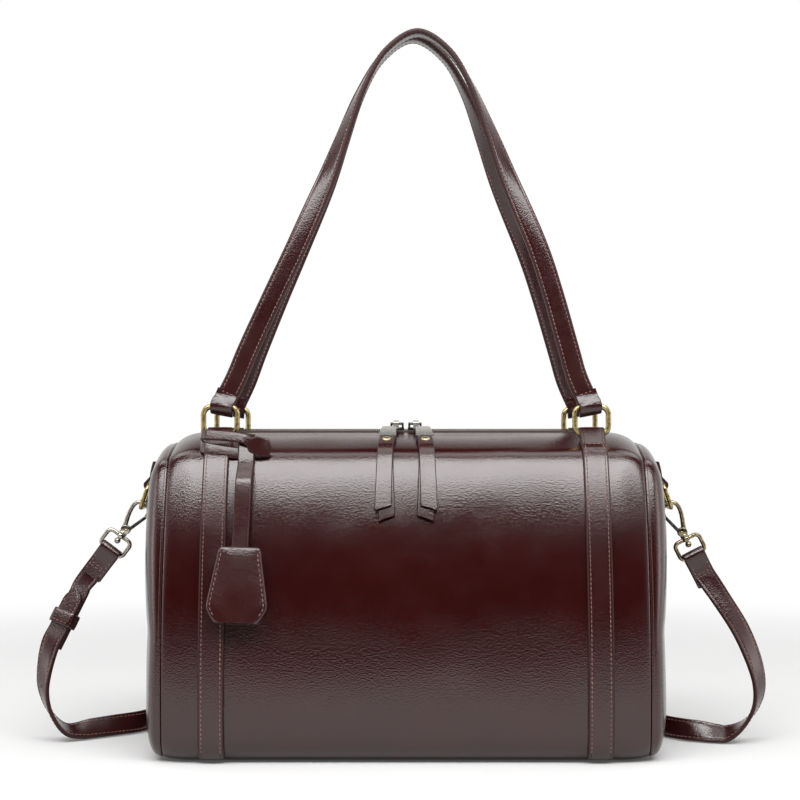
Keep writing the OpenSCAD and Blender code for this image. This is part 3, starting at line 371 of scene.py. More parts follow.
def disc(r, low, high, edge=0.25):
    return [(r - edge, low), (r - 0.3 * edge, low + 0.3 * edge), (r, low + edge), (r, high - edge),
            (r - 0.3 * edge, high - 0.3 * edge), (r - edge, high)]


def tube(path, radius, sides=14, ring=False):
    """Sections of a round rod in the XZ plane, with rounded ends unless it closes."""
    p = np.asarray(path, float)
    radii = np.array(np.broadcast_to(radius, len(p)), float)
    t = tangents(p, ring)
    if not ring:
        cap = np.array([0.98, 0.85, 0.6, 0.3])
        start = [p[0] - t[0] * radii[0] * c for c in cap]
        end = [p[-1] + t[-1] * radii[-1] * c for c in cap[::-1]]
        r0, r1 = radii[0] * np.sqrt(1 - cap ** 2), radii[-1] * np.sqrt(1 - cap[::-1] ** 2)
        p = np.concatenate([start, p, end])
        t = np.concatenate([[t[0]] * 4, t, [t[-1]] * 4])
        radii = np.concatenate([r0, radii, r1])
    side = np.array([0, 1.0, 0])
    out = np.cross(side, t)
    rings = [[p[k] + radii[k] * (c * side + s * out[k]) for c, s in circle(1, sides)] for k in range(len(p))]
    return rings, ring


# Flat straps

FACE_POINTS, SIDE_POINTS = 17, 8
GROOVE = np.array((-0.5, -0.22, 0.22, 0.5))
GROOVE_W, SLANT_L = 0.35, 6


def face_places(flat, half_w, stitch_in):
    """Places of a face's points across the strap, closer together at each row of stitches."""
    if not stitch_in:
        return np.linspace(1, -1, FACE_POINTS) * flat
    row = half_w - stitch_in
    places = np.concatenate([np.linspace(1, -1, FACE_POINTS - 8) * flat, row + GROOVE, -row + GROOVE])
    return np.clip(np.sort(places)[::-1], -flat, flat)


def strap_section(half_w, half_t, round_r, stitch_in, groove, crown):
    """A strap's cross-section as (across, out), with a shallow groove under each row of stitches."""
    r = min(round_r, 0.95 * half_t, 0.6 * half_w)
    flat = half_w - r
    line = face_places(flat, half_w, stitch_in)
    rise = crown * (1 - (line / half_w) ** 2)
    if stitch_in:
        away = (np.abs(line) - (half_w - stitch_in)) / GROOVE_W
        rise = rise - groove * np.exp(-away ** 2)
    face = np.stack([line, half_t + rise - crown * (1 - (flat / half_w) ** 2)], 1)
    upper = arc(r, 112.5, 180, 4, (-flat, half_t - r))
    lower = arc(r, 180, 247.5, 4, (-flat, r - half_t))
    if half_t - r < 0.02:
        lower = np.concatenate([lower[1:], lower[-1:]])
    left = np.concatenate([upper, lower])
    return np.concatenate([face, left, face[::-1] * (1, -1), left[::-1] * (-1, 1)])


class Strap:
    """Strap along a path, with a way across and a way out of its outer face at each point."""

    def __init__(self, points, across, out, width, thick, spacing=1.5):
        count = len(points)
        across, out = np.broadcast_to(across, (count, 3)), np.broadcast_to(out, (count, 3))
        halves = [np.broadcast_to(size, count) / 2 for size in (width, thick)]
        self.p, across, out, self.half_w, self.half_t = resample(points, spacing, across, out, *halves)
        self.t = tangents(self.p)
        self.n = unit(out - np.sum(out * self.t, 1, keepdims=True) * self.t)
        way = np.cross(self.t, self.n)
        self.w = way * np.sign(np.sum(way * across, 1, keepdims=True))
        self.s = lengths(self.p)

    def rounded(self, start=0.0, end=0.0):
        """Rounds off the strap's tips over a length at its start or end."""
        for length, way in ((start, self.s), (end, self.s[-1] - self.s)):
            if length:
                k = np.clip(1 - way / length, 0, 0.985)
                self.half_w = self.half_w * np.sqrt(1 - k ** 2)
        return self

    def mesh(self, name, material, round_r=0.8, stitch_in=0.0, groove=0.14, crown=0.15, slant=0.0):
        sections = []
        for k in range(len(self.p)):
            outline = strap_section(self.half_w[k], self.half_t[k], round_r, stitch_in, groove, crown)
            ahead = slant * outline[:, :1] * max(0.0, 1 - (self.s[-1] - self.s[k]) / SLANT_L)
            sections.append(self.p[k] + outline[:, :1] * self.w[k] + outline[:, 1:] * self.n[k]
                            + ahead * self.t[k])
        sections = np.array(sections)
        other_hand = np.linalg.det(np.stack([self.w[0], self.n[0], self.t[0]])) < 0
        if other_hand:
            sections = sections[:, ::-1]
        piece = skin(name, sections, material)
        piece.data.materials.append(EDGE_PAINT)
        count = len(sections)
        # Edge paint on the sides; the grooves under the stitches get it too, as painted shade.
        dark = self.edge_paint_and_shade(count // 2, round_r, stitch_in)
        if other_hand:
            dark = np.roll(dark[::-1], -1)
        index = np.concatenate([np.tile(dark, count - 1), [True, True]]).astype(int)
        piece.data.polygons.foreach_set("material_index", index)
        return piece

    def edge_paint_and_shade(self, middle, round_r, stitch_in):
        """Which faces round the section show edge paint: the sides, and, as painted shade of the stitch
        holes, the grooves under the stitches.
        """
        dark = np.zeros(2 * (FACE_POINTS + SIDE_POINTS), bool)
        dark[FACE_POINTS - 1:FACE_POINTS + SIDE_POINTS] = True
        dark[2 * FACE_POINTS + SIDE_POINTS - 1:] = True
        if stitch_in:
            half_w = self.half_w[middle]
            places = face_places(half_w - min(round_r, 0.95 * self.half_t[middle]), half_w, stitch_in)
            off = abs(abs((places[1:] + places[:-1]) / 2) - (half_w - stitch_in))
            row = np.flatnonzero(off < 0.2)
            dark[row] = True
            dark[2 * FACE_POINTS + SIDE_POINTS - 2 - row] = True
        return dark

    def line(self, inset, outer=True, start=0.0, end=0.0, side=1):
        """Line of points on a face, at a distance in from one edge, and the way out of that face."""
        keep = (self.s >= start) & (self.s <= self.s[-1] - end)
        sign = 1 if outer else -1
        at = self.p + side * (self.half_w - inset)[:, None] * self.w + sign * self.half_t[:, None] * self.n
        return at[keep], (sign * self.n)[keep]

    def four_lines(self, inset, start, end):
        """Lines along both edges of both faces."""
        return [self.line(inset, outer, start, end, side) for outer in (True, False) for side in (-1, 1)]

    def cross(self, s, inset, outer=True):
        """Line across the strap at a distance along it."""
        k = int(np.argmin(np.abs(self.s - s)))
        half = self.half_w[k] - inset
        sign = 1 if outer else -1
        base = self.p[k] + sign * self.half_t[k] * self.n[k]
        return np.array([base - half * self.w[k], base + half * self.w[k]]), np.array([sign * self.n[k]] * 2)


STITCH_SIDES, STITCH_TURN = 6, 0.1


def stitches(name, lines, body, pitch=2.7, length=1.95, radius=0.28):
    """Rows of sewn stitches, each a short thread that dips into the leather at both ends."""
    along = np.array([-0.5, -0.4, -0.15, 0.15, 0.4, 0.5]) * length
    fat = np.array([0.3, 0.8, 1, 1, 0.8, 0.3]) * radius
    dip = np.array([-0.9, -0.3, 0, 0, -0.3, -0.9]) * radius
    unit_faces = skin_faces(len(along), STITCH_SIDES)
    points, faces = [], []
    for line, normals in lines:
        s = lengths(line)
        count = max(1, int((s[-1] - 0.2) / pitch))
        for at in (s[-1] - (count - 1) * pitch) / 2 + pitch * np.arange(count):
            c, up = values_at(at, s, line), unit(values_at(at, s, normals))
            ahead = values_at(at + 0.3, s, line) - values_at(at - 0.3, s, line)
            t = unit(ahead - ahead.dot(up) * up)
            t = unit(t + STITCH_TURN * np.cross(up, t))
            w = np.cross(up, t)
            faces += [tuple(len(points) + i for i in f) for f in unit_faces]
            for x, r, z in zip(along, fat, dip):
                points += [c + x * t + a * w + (z + b) * up for a, b in circle(r, STITCH_SIDES)]
    return place(make(name, points, faces, THREAD, 180), body)


# Outline of the body, as distance u from the zip line and height z

CREASE_U, CREASE_Z, SLOPE_BEND = 0.61 * HALF_D, 0.94 * BODY_H, 1.7
FOOT_U, MID_Z = HALF_D - 1 - CORNER_R, 0.42 * BODY_H
TOP_DROP, FRONT_IN, FOOT_LIFT = 0.4 * ROUND_L, 0.2 * ROUND_L, 0.1 * ROUND_L
FLAT_X = BODY_L / 2 - ROUND_L
TOP_STEPS, FACE_STEPS, CORNER_STEPS, CREASE_REACH = 20, 36, 8, 6
SEAM_TURN, SEAM_OVER, CURL_R, SAG = 0.94, 0.85, 1.3, 0.9


def slope_z(u):
    return BODY_H - (BODY_H - CREASE_Z) * (u / CREASE_U) ** SLOPE_BEND


def body_outline():
    top = [(u, slope_z(u)) for u in np.linspace(ZIP_GAP / 2, CREASE_U, TOP_STEPS + 1)]
    a, b, c, d = np.array([(CREASE_U, CREASE_Z), (0.8 * HALF_D, 0.84 * BODY_H),
                           (1.05 * HALF_D, 0.42 * BODY_H), (HALF_D - 1, CORNER_R)])
    t = np.linspace(0, 1, FACE_STEPS + 1)[1:, None]
    face = a * (1 - t) ** 3 + 3 * b * t * (1 - t) ** 2 + 3 * c * t ** 2 * (1 - t) + d * t ** 3
    return np.concatenate([top, face, arc(CORNER_R, 0, -90, CORNER_STEPS + 1, (FOOT_U, CORNER_R))[1:]])


def softened(line, at, reach):
    """Rounds off the line near one of its points."""
    s = lengths(line)
    fine = np.linspace(0, s[-1], 1200)
    dense = values_at(fine, s, line)
    out = line.copy()
    for k in range(1, len(line) - 1):
        far = abs(s[k] - s[at])
        if far < 2 * reach:
            wide = reach * math.cos(math.pi / 2 * far / (2 * reach))
            weight = np.exp(-0.5 * ((fine - s[k]) / max(wide * 0.55, 0.2)) ** 2)
            out[k] = (dense * weight[:, None]).sum(0) / weight.sum()
    return out


OUTLINE = softened(body_outline(), TOP_STEPS, CREASE_REACH)
OUT = normals_2d(OUTLINE)


def outline_u(z):
    lower = OUTLINE[TOP_STEPS:][::-1]
    return float(np.interp(z, lower[:, 1], lower[:, 0]))


def on_slope(u, d=0.0):
    n = unit(np.array([slope_z(u - 0.5) - slope_z(u + 0.5), 1.0]))
    return np.array([u, slope_z(u)]) + d * n


def bend(x):
    """How far the body has rounded off towards its ends, from 0 to 1 at the seam."""
    over = np.clip((abs(x) - FLAT_X) / ROUND_L, 0, 1)
    return (1 - math.sqrt(1 - (SEAM_TURN * over) ** 2)) / (1 - math.sqrt(1 - SEAM_TURN ** 2))


def end_shape(q, t):
    """Outline points drawn in by a share t of the end's rounding."""
    q = np.asarray(q, float)
    high = MID_Z + (q[..., 1] - MID_Z) * (1 - TOP_DROP / (BODY_H - MID_Z) * t)
    low = MID_Z - (MID_Z - q[..., 1]) * (1 - FOOT_LIFT / MID_Z * t)
    return np.stack([q[..., 0] * (1 - FRONT_IN / HALF_D * t), np.where(q[..., 1] > MID_Z, high, low)], -1)


def both_sides(line, t):
    """End shape of a line that runs on both sides of the zip."""
    line = np.asarray(line, float)
    q = end_shape(np.abs(line), t)
    return np.stack([np.sign(line[:, 0]) * q[:, 0], q[:, 1]], 1)


def soft(x, y, z, size, seed):
    """Smooth unevenness between 0 and 1."""
    v = noise.noise(Vector((x / size + seed, y / size, z / size))) * 0.7
    v += noise.noise(Vector((x / size * 2.3, y / size * 2.3 + seed, z / size * 2.3))) * 0.3
    return 0.5 + 0.5 * max(-1.0, min(1.0, 1.6 * v))


def curl(x):
    """How far the leather turns in at its seam edge."""
    over = np.clip(abs(x) - (BODY_L / 2 - CURL_R), 0, CURL_R)
    return CURL_R - math.sqrt(CURL_R ** 2 - over ** 2)


def shell_stations():
    """Places along the body, close together where it rounds off and where its edge turns in."""
    ends = FLAT_X + ROUND_L * np.linspace(0, 1, 13)[1:]
    rim = BODY_L / 2 - CURL_R * np.array([0.66, 0.33, 0.14, 0.04, 0])
    ends = np.unique(np.round(np.concatenate([ends[ends < BODY_L / 2 - CURL_R], rim]), 4))
    return np.concatenate([-ends[::-1], np.linspace(-FLAT_X, FLAT_X, 61), ends])


def panel_points(side, depth):
    """Panel that sags a little between its seams and straps."""
    rows = []
    for x in shell_stations():
        free = min(1.0, max(0.0, (abs(abs(x) - STRAP_X) - 9) / 12)) * (1 - bend(x))
        row = []
        for k, (p, n) in enumerate(zip(OUTLINE, OUT)):
            along = min(1.0, k / 6, (len(OUTLINE) - 1 - k) / 10)
            sag = SAG * free * along * soft(x, side * p[0], p[1], 62, 3.1)
            q = end_shape(p - n * (depth + sag + curl(x) * (1 if depth == 0 else 0.15)), bend(x))
            row.append((x + math.copysign(SEAM_OVER * bend(x), x), side * q[0], q[1]))
        rows.append(row if side < 0 else row[::-1])
    return np.array(rows)


def panel(side, word):
    place(slab(word + "_panel_leather", panel_points(side, 0), panel_points(side, SHELL_T), OXBLOOD), "bag",
          word + "_panel")


def base():
    half = (OUTLINE[-1] - OUT[-1] * SHELL_T)[0] - LAYER_GAP
    layers = [[[(x, u, v) for u, v in both_sides([(y, z) for y in np.linspace(half, -half, 25)], bend(x))]
               for x in shell_stations()] for z in (SHELL_T, 0.0)]
    place(slab("base_leather", *layers, OXBLOOD), "bag", "base_panel")


# End panels and piping

RIM_X = BODY_L / 2 + 2 * PIPING_R + 2 * LAYER_GAP
DOME_Z, DENT = 0.39 * BODY_H, 0.7
SIDE_POWER, TOP_POWER, LOW_POWER = 2.2, 8, 3.5
PIPING_IN = 0.6 * PIPING_R
TOP_LINE_Z = float(end_shape((0, BODY_H), 1)[1])
DOME_RINGS = (1, 0.995, 0.985, 0.97, 0.945, 0.91, 0.86, 0.79, 0.7, 0.59, 0.46, 0.32, 0.18, 0.06)


def ring_line(d):
    """Line right round the body, at a distance out of its outline."""
    h = OUTLINE + OUT * d
    flat = np.linspace(-FOOT_U, FOOT_U, 25)[1:-1]
    return np.concatenate([h * (-1, 1), [(y, h[-1][1]) for y in flat], h[::-1]])


def seam_ring(d):
    return both_sides(ring_line(d), 1)


def dome_power(p):
    s = (p[1] - DOME_Z) / math.hypot(p[0], p[1] - DOME_Z)
    return SIDE_POWER + (TOP_POWER - SIDE_POWER) * s if s > 0 else SIDE_POWER - (LOW_POWER - SIDE_POWER) * s


def dome_x(z):
    return RIM_X + END_BULGE * math.sqrt(1 - ((z - DOME_Z) / (TOP_LINE_Z - DOME_Z)) ** TOP_POWER)


def crown_point(z, d=0.0):
    n = unit(np.array([1.0, dome_x(z - 0.5) - dome_x(z + 0.5)]))
    return np.array([dome_x(z), z]) + d * n


def end_panel(side):
    """Domed end, dented a little except under the leather loop."""
    layers = []
    for depth in (0, SHELL_T):
        rings = []
        for s in DOME_RINGS:
            ring = []
            for p in seam_ring(-depth):
                rise = (END_BULGE - depth) * math.sqrt(max(0.0, 1 - s ** dome_power(p)))
                y, z = p[0] * s, DOME_Z + (p[1] - DOME_Z) * s
                dent = DENT * soft(y, z, side * 40, 48, 7.7) * min(1.0, (1 - s) * 6)
                clear = min(1.0, max(0.0, (math.hypot(y / 14, (z - 165) / 18) - 1)))
                ring.append((side * (RIM_X - SEAM_OVER * s ** 40 + rise - dent * clear), y, z))
            rings.append(ring)
        layers.append(np.array(rings))
    outer, inner = layers
    n, m = outer.shape[:2]
    tips = [outer[-1].mean(0), inner[-1].mean(0)]
    points = np.concatenate([outer.reshape(-1, 3), inner.reshape(-1, 3), tips])
    o, tip, last = n * m, 2 * n * m, (n - 1) * m
    faces = []
    for j in range(m):
        k = (j + 1) % m
        for a in range(0, last, m):
            b = a + m
            faces += [(a + j, a + k, b + k, b + j), (o + a + j, o + b + j, o + b + k, o + a + k)]
        faces += [(j, o + j, o + k, k), (last + j, last + k, tip), (o + last + k, o + last + j, tip + 1)]
    if side < 0:
        faces = [f[::-1] for f in faces]
    place(make(WORDS[side] + "_end_leather", points, faces, OXBLOOD), "bag", WORDS[side] + "_end_panel")


def piping(side):
    x = side * (BODY_L / 2 + PIPING_R + LAYER_GAP)
    path = [(x, y, z) for y, z in closed_line(seam_ring(-PIPING_IN), 1.6)]
    place(wire(WORDS[side] + "_piping_cord", path, 0.8 * PIPING_R, STRAP_LEATHER, 12, (1, 0, 0)), "bag",
          WORDS[side] + "_piping", slot="edge_leather")


# Inside

TAPE_T, LINING_T, POCKET_T, POCKET_W = 0.6, 0.6, 0.8, 130
LINING_D = SHELL_T + TAPE_T + 2 * LAYER_GAP


def lining():
    reach = BODY_L / 2 - LINING_T - LAYER_GAP
    layers = [[[(x, y, z) for y, z in both_sides(ring_line(-d)[::3], bend(x))]
               for x in np.linspace(-reach, reach, 25)] for d in (LINING_D, LINING_D + LINING_T)]
    place(slab("lining_cloth", *layers, LINING), "bag", "lining")
    for side, word in WORDS.items():
        ring = seam_ring(-LINING_D - LINING_T - LAYER_GAP)[::3]
        sections = [[(side * (BODY_L / 2 - LINING_T * k), y, z) for y, z in ring] for k in (0, 0.5, 1)]
        place(skin(word + "_end_lining_cloth", sections, LINING), "bag", word + "_end_lining")


def pocket():
    d = LINING_D + LINING_T + LAYER_GAP
    layers = [[[(x, u, z) for u, z in (OUTLINE - OUT * depth)[TOP_STEPS + 5:TOP_STEPS + 20]]
               for x in np.linspace(-POCKET_W / 2, POCKET_W / 2, 14)] for depth in (d + POCKET_T, d)]
    place(slab("pocket_cloth", *layers, LINING), "bag", "inner_pocket")


# Zip

CHAIN_RISE, CHAIN_T, ROW_OUT, TOOTH_REACH, TAPE_W = 0.4, 2, 2.35, 0.6, 12
CHAIN_Z, TEETH_UP = BODY_H + CHAIN_RISE, 0.5
TOOTH_PLAN = ((-0.5, -1), (-0.62, -0.35), (-0.5, 0.25), (-0.85, 0.7), (-0.6, 1), (0.6, 1), (0.85, 0.7),
              (0.5, 0.25), (0.62, -0.35), (0.5, -1))


def zip_tape(side, word):
    edge, cover = ZIP_GAP / 2, ZIP_GAP / 2 + TAPE_W
    d = SHELL_T + LAYER_GAP
    line = [(2.4, CHAIN_Z), (edge - 2.6 * TAPE_T, CHAIN_Z), (edge - 1.2 * TAPE_T, CHAIN_Z - 0.8)]
    line += [(u, slope_z(u) - d - TAPE_T / 2) for u in (edge, edge + 0.5 * TAPE_W, cover)]
    line = resample(curve(line, 5), 0.8)
    rows = [[[(x, side * u, z) for u, z in line + normals_2d(line) * h] for x in (-FLAT_X, FLAT_X)]
            for h in (TAPE_T / 2, -TAPE_T / 2)]
    if side > 0:
        rows = rows[::-1]
    place(slab(word + "_zip_tape_cloth", *rows, TAPE), "bag", word + "_zip_tape")


def zip_end(side):
    """Leather that closes the slit between the end of the zip and the end panel's seam."""
    xs = np.concatenate([np.linspace(ZIP_L / 2 - 4, FLAT_X, 4), FLAT_X + ROUND_L * np.linspace(0.08, 1, 12)])
    points = []
    for x in xs:
        z = end_shape((0, BODY_H - SHELL_T - 0.5), bend(x))[1]
        points.append((side * (x + SEAM_OVER * bend(x)), 0, z))
    s = Strap(points, (0, 1, 0), (side * 0.3, 0, 1), ZIP_GAP + 5, 1.1, 1.5)
    place(s.mesh("zip_end_" + WORDS[side], STRAP_LEATHER, 0.4, 0, 0, 0.3), "bag")
    row = [(side * (ZIP_L / 2 + 1), y, BODY_H - SHELL_T + 0.25) for y in (-3.2, 3.2)]
    stitches("zip_end_stitches_" + WORDS[side], [(row, [(0, 0, 1)] * 2)], "bag", 1.6, 1.2, 0.22)


def zip_teeth(side, word):
    """Cast teeth, each a rounded head on a neck that grips the tape's edge."""
    count = int(ZIP_L / TOOTH_PITCH)
    start = -count * TOOTH_PITCH / 2 + (TOOTH_PITCH / 2 if side > 0 else 0)
    wide, deep = 0.42 * TOOTH_PITCH / 2 / 0.85, (ROW_OUT + TOOTH_REACH) / 2
    mid = (ROW_OUT - TOOTH_REACH) / 2
    parts = []
    for k in range(count):
        parts.append(([[(start + k * TOOTH_PITCH + px * wide * grow, side * (mid - py * deep * grow),
                         CHAIN_Z + TEETH_UP + h * CHAIN_T / 2) for px, py in TOOTH_PLAN]
                       for h, grow in ((-1, 0.72), (-0.75, 1), (0.75, 1), (1, 0.72))], False))
    place(merged(word + "_zip_teeth_cast", parts, ZIP_BRASS, sharp_deg=35), "bag", word + "_zip_teeth")


# Rings and the straps on the body

CHAPE_T, CHAPE_L, STITCH_IN = 1.9, 12.5, 2.0
CHAPE_R = RING_WIRE_R + FOLD_GAP + CHAPE_T
RING_PIVOT = on_slope(RING_U, LAYER_GAP + CHAPE_R)
RING_RISE = RING_H - 2 * RING_WIRE_R
HANDLE_Z = RING_PIVOT[1] + RING_RISE


def handle_ring(side, back, word):
    loop = rounded_loop(RING_W, RING_H, RING_WIRE_R, RING_BEND_R)
    path = loop + (side * STRAP_X, back * RING_PIVOT[0], RING_PIVOT[1] + RING_RISE / 2)
    name = "%s_%s_ring" % (word, WORDS[side])
    place(wire(name + "_wire", path, RING_WIRE_R, BRASS), word + "_rings", name)


def body_strap(side, back, word):
    """Strap folded round the ring at the top and sewn down the body: its free end lies under the fold."""
    n0 = on_slope(RING_U, 1) - on_slope(RING_U)
    up = math.degrees(math.atan2(n0[1], n0[0]))
    mid_r, mid = CHAPE_R - CHAPE_T / 2, LAYER_GAP + BODY_STRAP_T / 2
    foot = on_slope(RING_U + CHAPE_L, mid)
    under = [on_slope(RING_U + k, LAYER_GAP + 0.5 + 0.45 * (1 - k / CHAPE_L))
             for k in np.linspace(CHAPE_L - 3, 1, 7)]
    fold = arc(mid_r, up - 180, up - 360, 18, RING_PIVOT)
    slope = [on_slope(u, mid) for u in np.linspace(RING_U + CHAPE_L, CREASE_U, 6)[1:]]
    last = TOP_STEPS + FACE_STEPS + CORNER_STEPS // 2
    face = (OUTLINE + OUT * mid)[TOP_STEPS + 1:last + 1]
    line = np.concatenate([under, fold, [foot], slope, face])
    thick = np.concatenate([0.7 + 1.1 * np.arange(7) / 6, [CHAPE_T] * len(fold),
                            [BODY_STRAP_T] * (1 + len(slope) + len(face))])
    x = side * STRAP_X
    s = Strap([(x, back * u, z) for u, z in line], (1, 0, 0), [(0, back * a, b) for a, b in normals_2d(line)],
              BODY_STRAP_W, thick, 1.2)
    name = "%s_%s_body_strap" % (word, WORDS[side])
    place(s.mesh(name + "_leather", STRAP_LEATHER, 0.9, STITCH_IN, 0.1, 0.1), "bag", name)
    at_foot = float(s.s[np.argmin(np.linalg.norm(s.p - np.array([x, back * foot[0], foot[1]]), axis=1))])
    lines = [s.line(STITCH_IN, start=at_foot + 1, end=3, side=k) for k in (-1, 1)]
    stitches(name + "_stitches", lines + [s.cross(at_foot + 0.2, STITCH_IN + 0.5)], "bag")


# Handles

HANDLE_U = (HANDLE_W + HANDLE_GAP) / 2
HANDLE_SHARES = ((0.993, 0), (0.92, 0.075), (0.864, 0.154), (0.756, 0.299), (0.656, 0.423), (0.496, 0.607),
                 (0.4, 0.731), (0.296, 0.855), (0.173, 0.95), (0, 1))
TWIST_START, FOLD_L, FOLD_LAYER, FOLD_SINK, FOLD_TWIST = 0.35, 9, 0.9, 1.2, 0.2
HANDLE_SHIFTS = {-1: 7.2, 1: 4.4}


def ease(t):
    t = min(1.0, max(0.0, t))
    return t * t * (3 - 2 * t)


def handle_point(s, side, shift):
    return np.array([side * s[0] * STRAP_X + shift * ease(2 * s[1]),
                     -RING_PIVOT[0] + (RING_PIVOT[0] - HANDLE_U) * s[1],
                     HANDLE_Z + (HANDLE_TOP - HANDLE_T / 2 - HANDLE_Z) * s[1]])


def handle(back, word):
    """Strap that stands edge-on at its rings and turns flat at the top."""
    shift, body, name, flip = HANDLE_SHIFTS[back], word + "_grip", word + "_handle", np.array([1, -back, 1])
    path = [handle_point(s, -1, shift) for s in HANDLE_SHARES] + [handle_point(s, 1, shift)
                                                                 for s in HANDLE_SHARES[-2::-1]]
    p = curve(path, 14)[4:-4]
    t = tangents(p)
    across, out = [], []
    for k in range(len(p)):
        share = (p[k][2] - HANDLE_Z) / (HANDLE_TOP - HANDLE_Z)
        a = math.radians(90 * ease((share - TWIST_START) / (1 - TWIST_START)))
        m = math.cos(a) * np.array([0, -1, 0]) + math.sin(a) * unit(np.cross(t[k], (0, 1, 0)))
        out.append(unit(m - m.dot(t[k]) * t[k]))
        across.append(np.cross(t[k], out[-1]))
    s = Strap(p * flip, np.array(across) * flip, np.array(out) * flip, HANDLE_W, HANDLE_T, 1.6)
    place(s.mesh(name + "_leather", STRAP_LEATHER, 1.1, STITCH_IN, 0.2, 0.25), body, name)
    reach = FOLD_L - s.p[0][2] + HANDLE_Z + 0.5
    stitches(name + "_stitches", s.four_lines(STITCH_IN, reach, reach), body)
    for side in (-1, 1):
        handle_fold(side, flip, name, body, shift)


def handle_fold(side, flip, name, body, shift):
    """Outer layer of a handle's end: from the front of the leg, round the ring and up its back."""
    leg = unit(handle_point(HANDLE_SHARES[2], side, shift) - handle_point(HANDLE_SHARES[0], side, shift))
    lean = math.degrees(math.atan2(HANDLE_U - RING_PIVOT[0], HANDLE_TOP - HANDLE_Z))
    reach, mid_r = HANDLE_T / 2 + FOLD_LAYER / 2 - 0.15, CHAPE_R - CHAPE_T / 2
    leg_side = np.array([(reach, FOLD_L), (reach, 0.8 * FOLD_L), (reach + 0.35, 0.6 * FOLD_L),
                         (reach + 0.9, 0.36 * FOLD_L)])
    profile = np.concatenate([leg_side * (-1, 1), arc(-mid_r, -18, 198, 19), leg_side[::-1]])
    profile = resample(curve(profile, 3), 0.9)
    n = normals_2d(profile)
    if n[0][0] > 0:
        n = -n
    below = np.clip(-profile[:, 1] / mid_r, 0, 1)
    thick = np.interp(np.abs(lengths(profile) / lengths(profile)[-1] - 0.5), [0, 0.2, 0.32, 0.5],
                      [CHAPE_T, CHAPE_T, FOLD_LAYER, FOLD_LAYER])
    tilt = math.atan2(leg[0], leg[2])
    centre = np.array([side * HANDLE_SHARES[0][0] * STRAP_X, -RING_PIVOT[0], HANDLE_Z])
    points = [(z * math.tan(tilt * min(1.0, max(0.0, z / 3))), y, z) for y, z in profile]
    turns = [tilt * ease(0.5 + z / 8) for y, z in profile]
    across = [(math.cos(a), 0, -math.sin(a)) for a in turns]
    points, across, out = (turned(v, Y, Z, lean) for v in (points, across, [(0, y, z) for y, z in n]))
    s = Strap((points + centre) * flip, across * flip, out * flip, HANDLE_W + 0.5, thick, 1.0)
    keep = np.interp(np.linspace(0, 1, len(s.p)), np.linspace(0, 1, len(below)), below)
    s.p[:, 2] -= FOLD_SINK * keep
    s.w[:, 2] += side * FOLD_TWIST * keep
    name = "%s_%s_fold" % (name, WORDS[side])
    place(s.mesh(name, STRAP_LEATHER, 0.5, 0, 0, 0.1), body)
    stitches(name + "_stitches", [s.cross(1.2, 1.6), s.cross(s.s[-1] - 1.2, 1.6)], body)


# Ends: tabs, rings and snap hooks

CLIP_WIRE_R, END_LEAN, TILTS = 1.3, 20, {-1: 37, 1: 27}
TAB_T, TAB_W = 1.6, 12
TAB_R = CLIP_WIRE_R + FOLD_GAP + TAB_T
END_BAR_Z = 0.825 * BODY_H
END_BAR = crown_point(END_BAR_Z, TAB_R + 2 * LAYER_GAP)
END_RING_W, END_RING_H, END_RING_BEND = 19.4, 17.6, 3.2
END_DROP = END_RING_H - 2 * CLIP_WIRE_R
CLIP = END_BAR + END_DROP * np.array([math.sin(math.radians(END_LEAN)), -math.cos(math.radians(END_LEAN))])
HOOK_R, HOOK_WIRE_R, BALL_DROP, BALL_R = 5.2, 1.25, 23.7, 2
PIN_DROP, PIN_X, PIN_R, PIN_GAP = 15.2, 0.6, 0.8, 0.2
HOOK_PLAY = HOOK_R - HOOK_WIRE_R - CLIP_WIRE_R - SOFT_GAP
BLOCK_R, BLOCK_T, SLOT_T, KNUCKLE_T, KNUCKLE_R = 3, 4.4, 2.9, 1.6, 1.8
GATE_R, GATE_GAP, NOSE_L, POST_R, COLLAR_L, COLLAR_R = 1, 0.45, 1, 1.2, 2.6, 2.6
COLLAR_DROP = BALL_DROP - BALL_R - 2 * PIN_GAP - COLLAR_L / 2
STRAP_RING_W, STRAP_RING_H, STRAP_RING_BEND = 19.4, 14, 3
STRAP_RING_RISE = STRAP_RING_H - 2 * CLIP_WIRE_R
SPRING_WIRE_R = 0.25


def mirrored_x(points, side):
    return np.asarray(points, float) * np.array([-side, 1, 1])


def at_hook(side):
    """Move from a hook that hangs straight down to its place on the bag."""
    def move(points):
        p = turned(np.asarray(points, float) - (0, 0, HOOK_PLAY), Z, X, TILTS[side])
        return mirrored_x(p + (-CLIP[0], 0, CLIP[1]), side)
    return move


def end_tab(side):
    """Leather loop sewn to the end panel, which holds the end ring."""
    lay = [crown_point(z, 2 * LAYER_GAP + TAB_T / 2) for z in np.linspace(0.9 * BODY_H, END_BAR_Z + 3, 7)]
    n = unit(END_BAR - crown_point(END_BAR_Z))
    start = math.degrees(math.atan2(n[1], n[0]))
    loop = arc(TAB_R - TAB_T / 2, start + 178, start + 385, 18, END_BAR)
    over = [lay[k] + n * (TAB_T + 0.1 + 0.5 * k / 5) for k in (5, 4, 3, 2, 1, 0)]
    line = resample(curve(np.concatenate([lay, loop, over]), 3), 0.9)
    out = [(a, 0, -b) for a, b in normals_2d(line)]
    points = mirrored_x([(-x, 0, z) for x, z in line], side)
    s = Strap(points, (0, 1, 0), mirrored_x(out, side), TAB_W, TAB_T, 0.9)
    name = WORDS[side] + "_end_tab"
    place(s.mesh(name + "_leather", STRAP_LEATHER, 0.6, 0, 0, 0.12), "bag", name)
    stitches(name + "_stitches", [s.cross(s.s[-1] - 1.5, 1.5, outer) for outer in (True, False)], "bag")


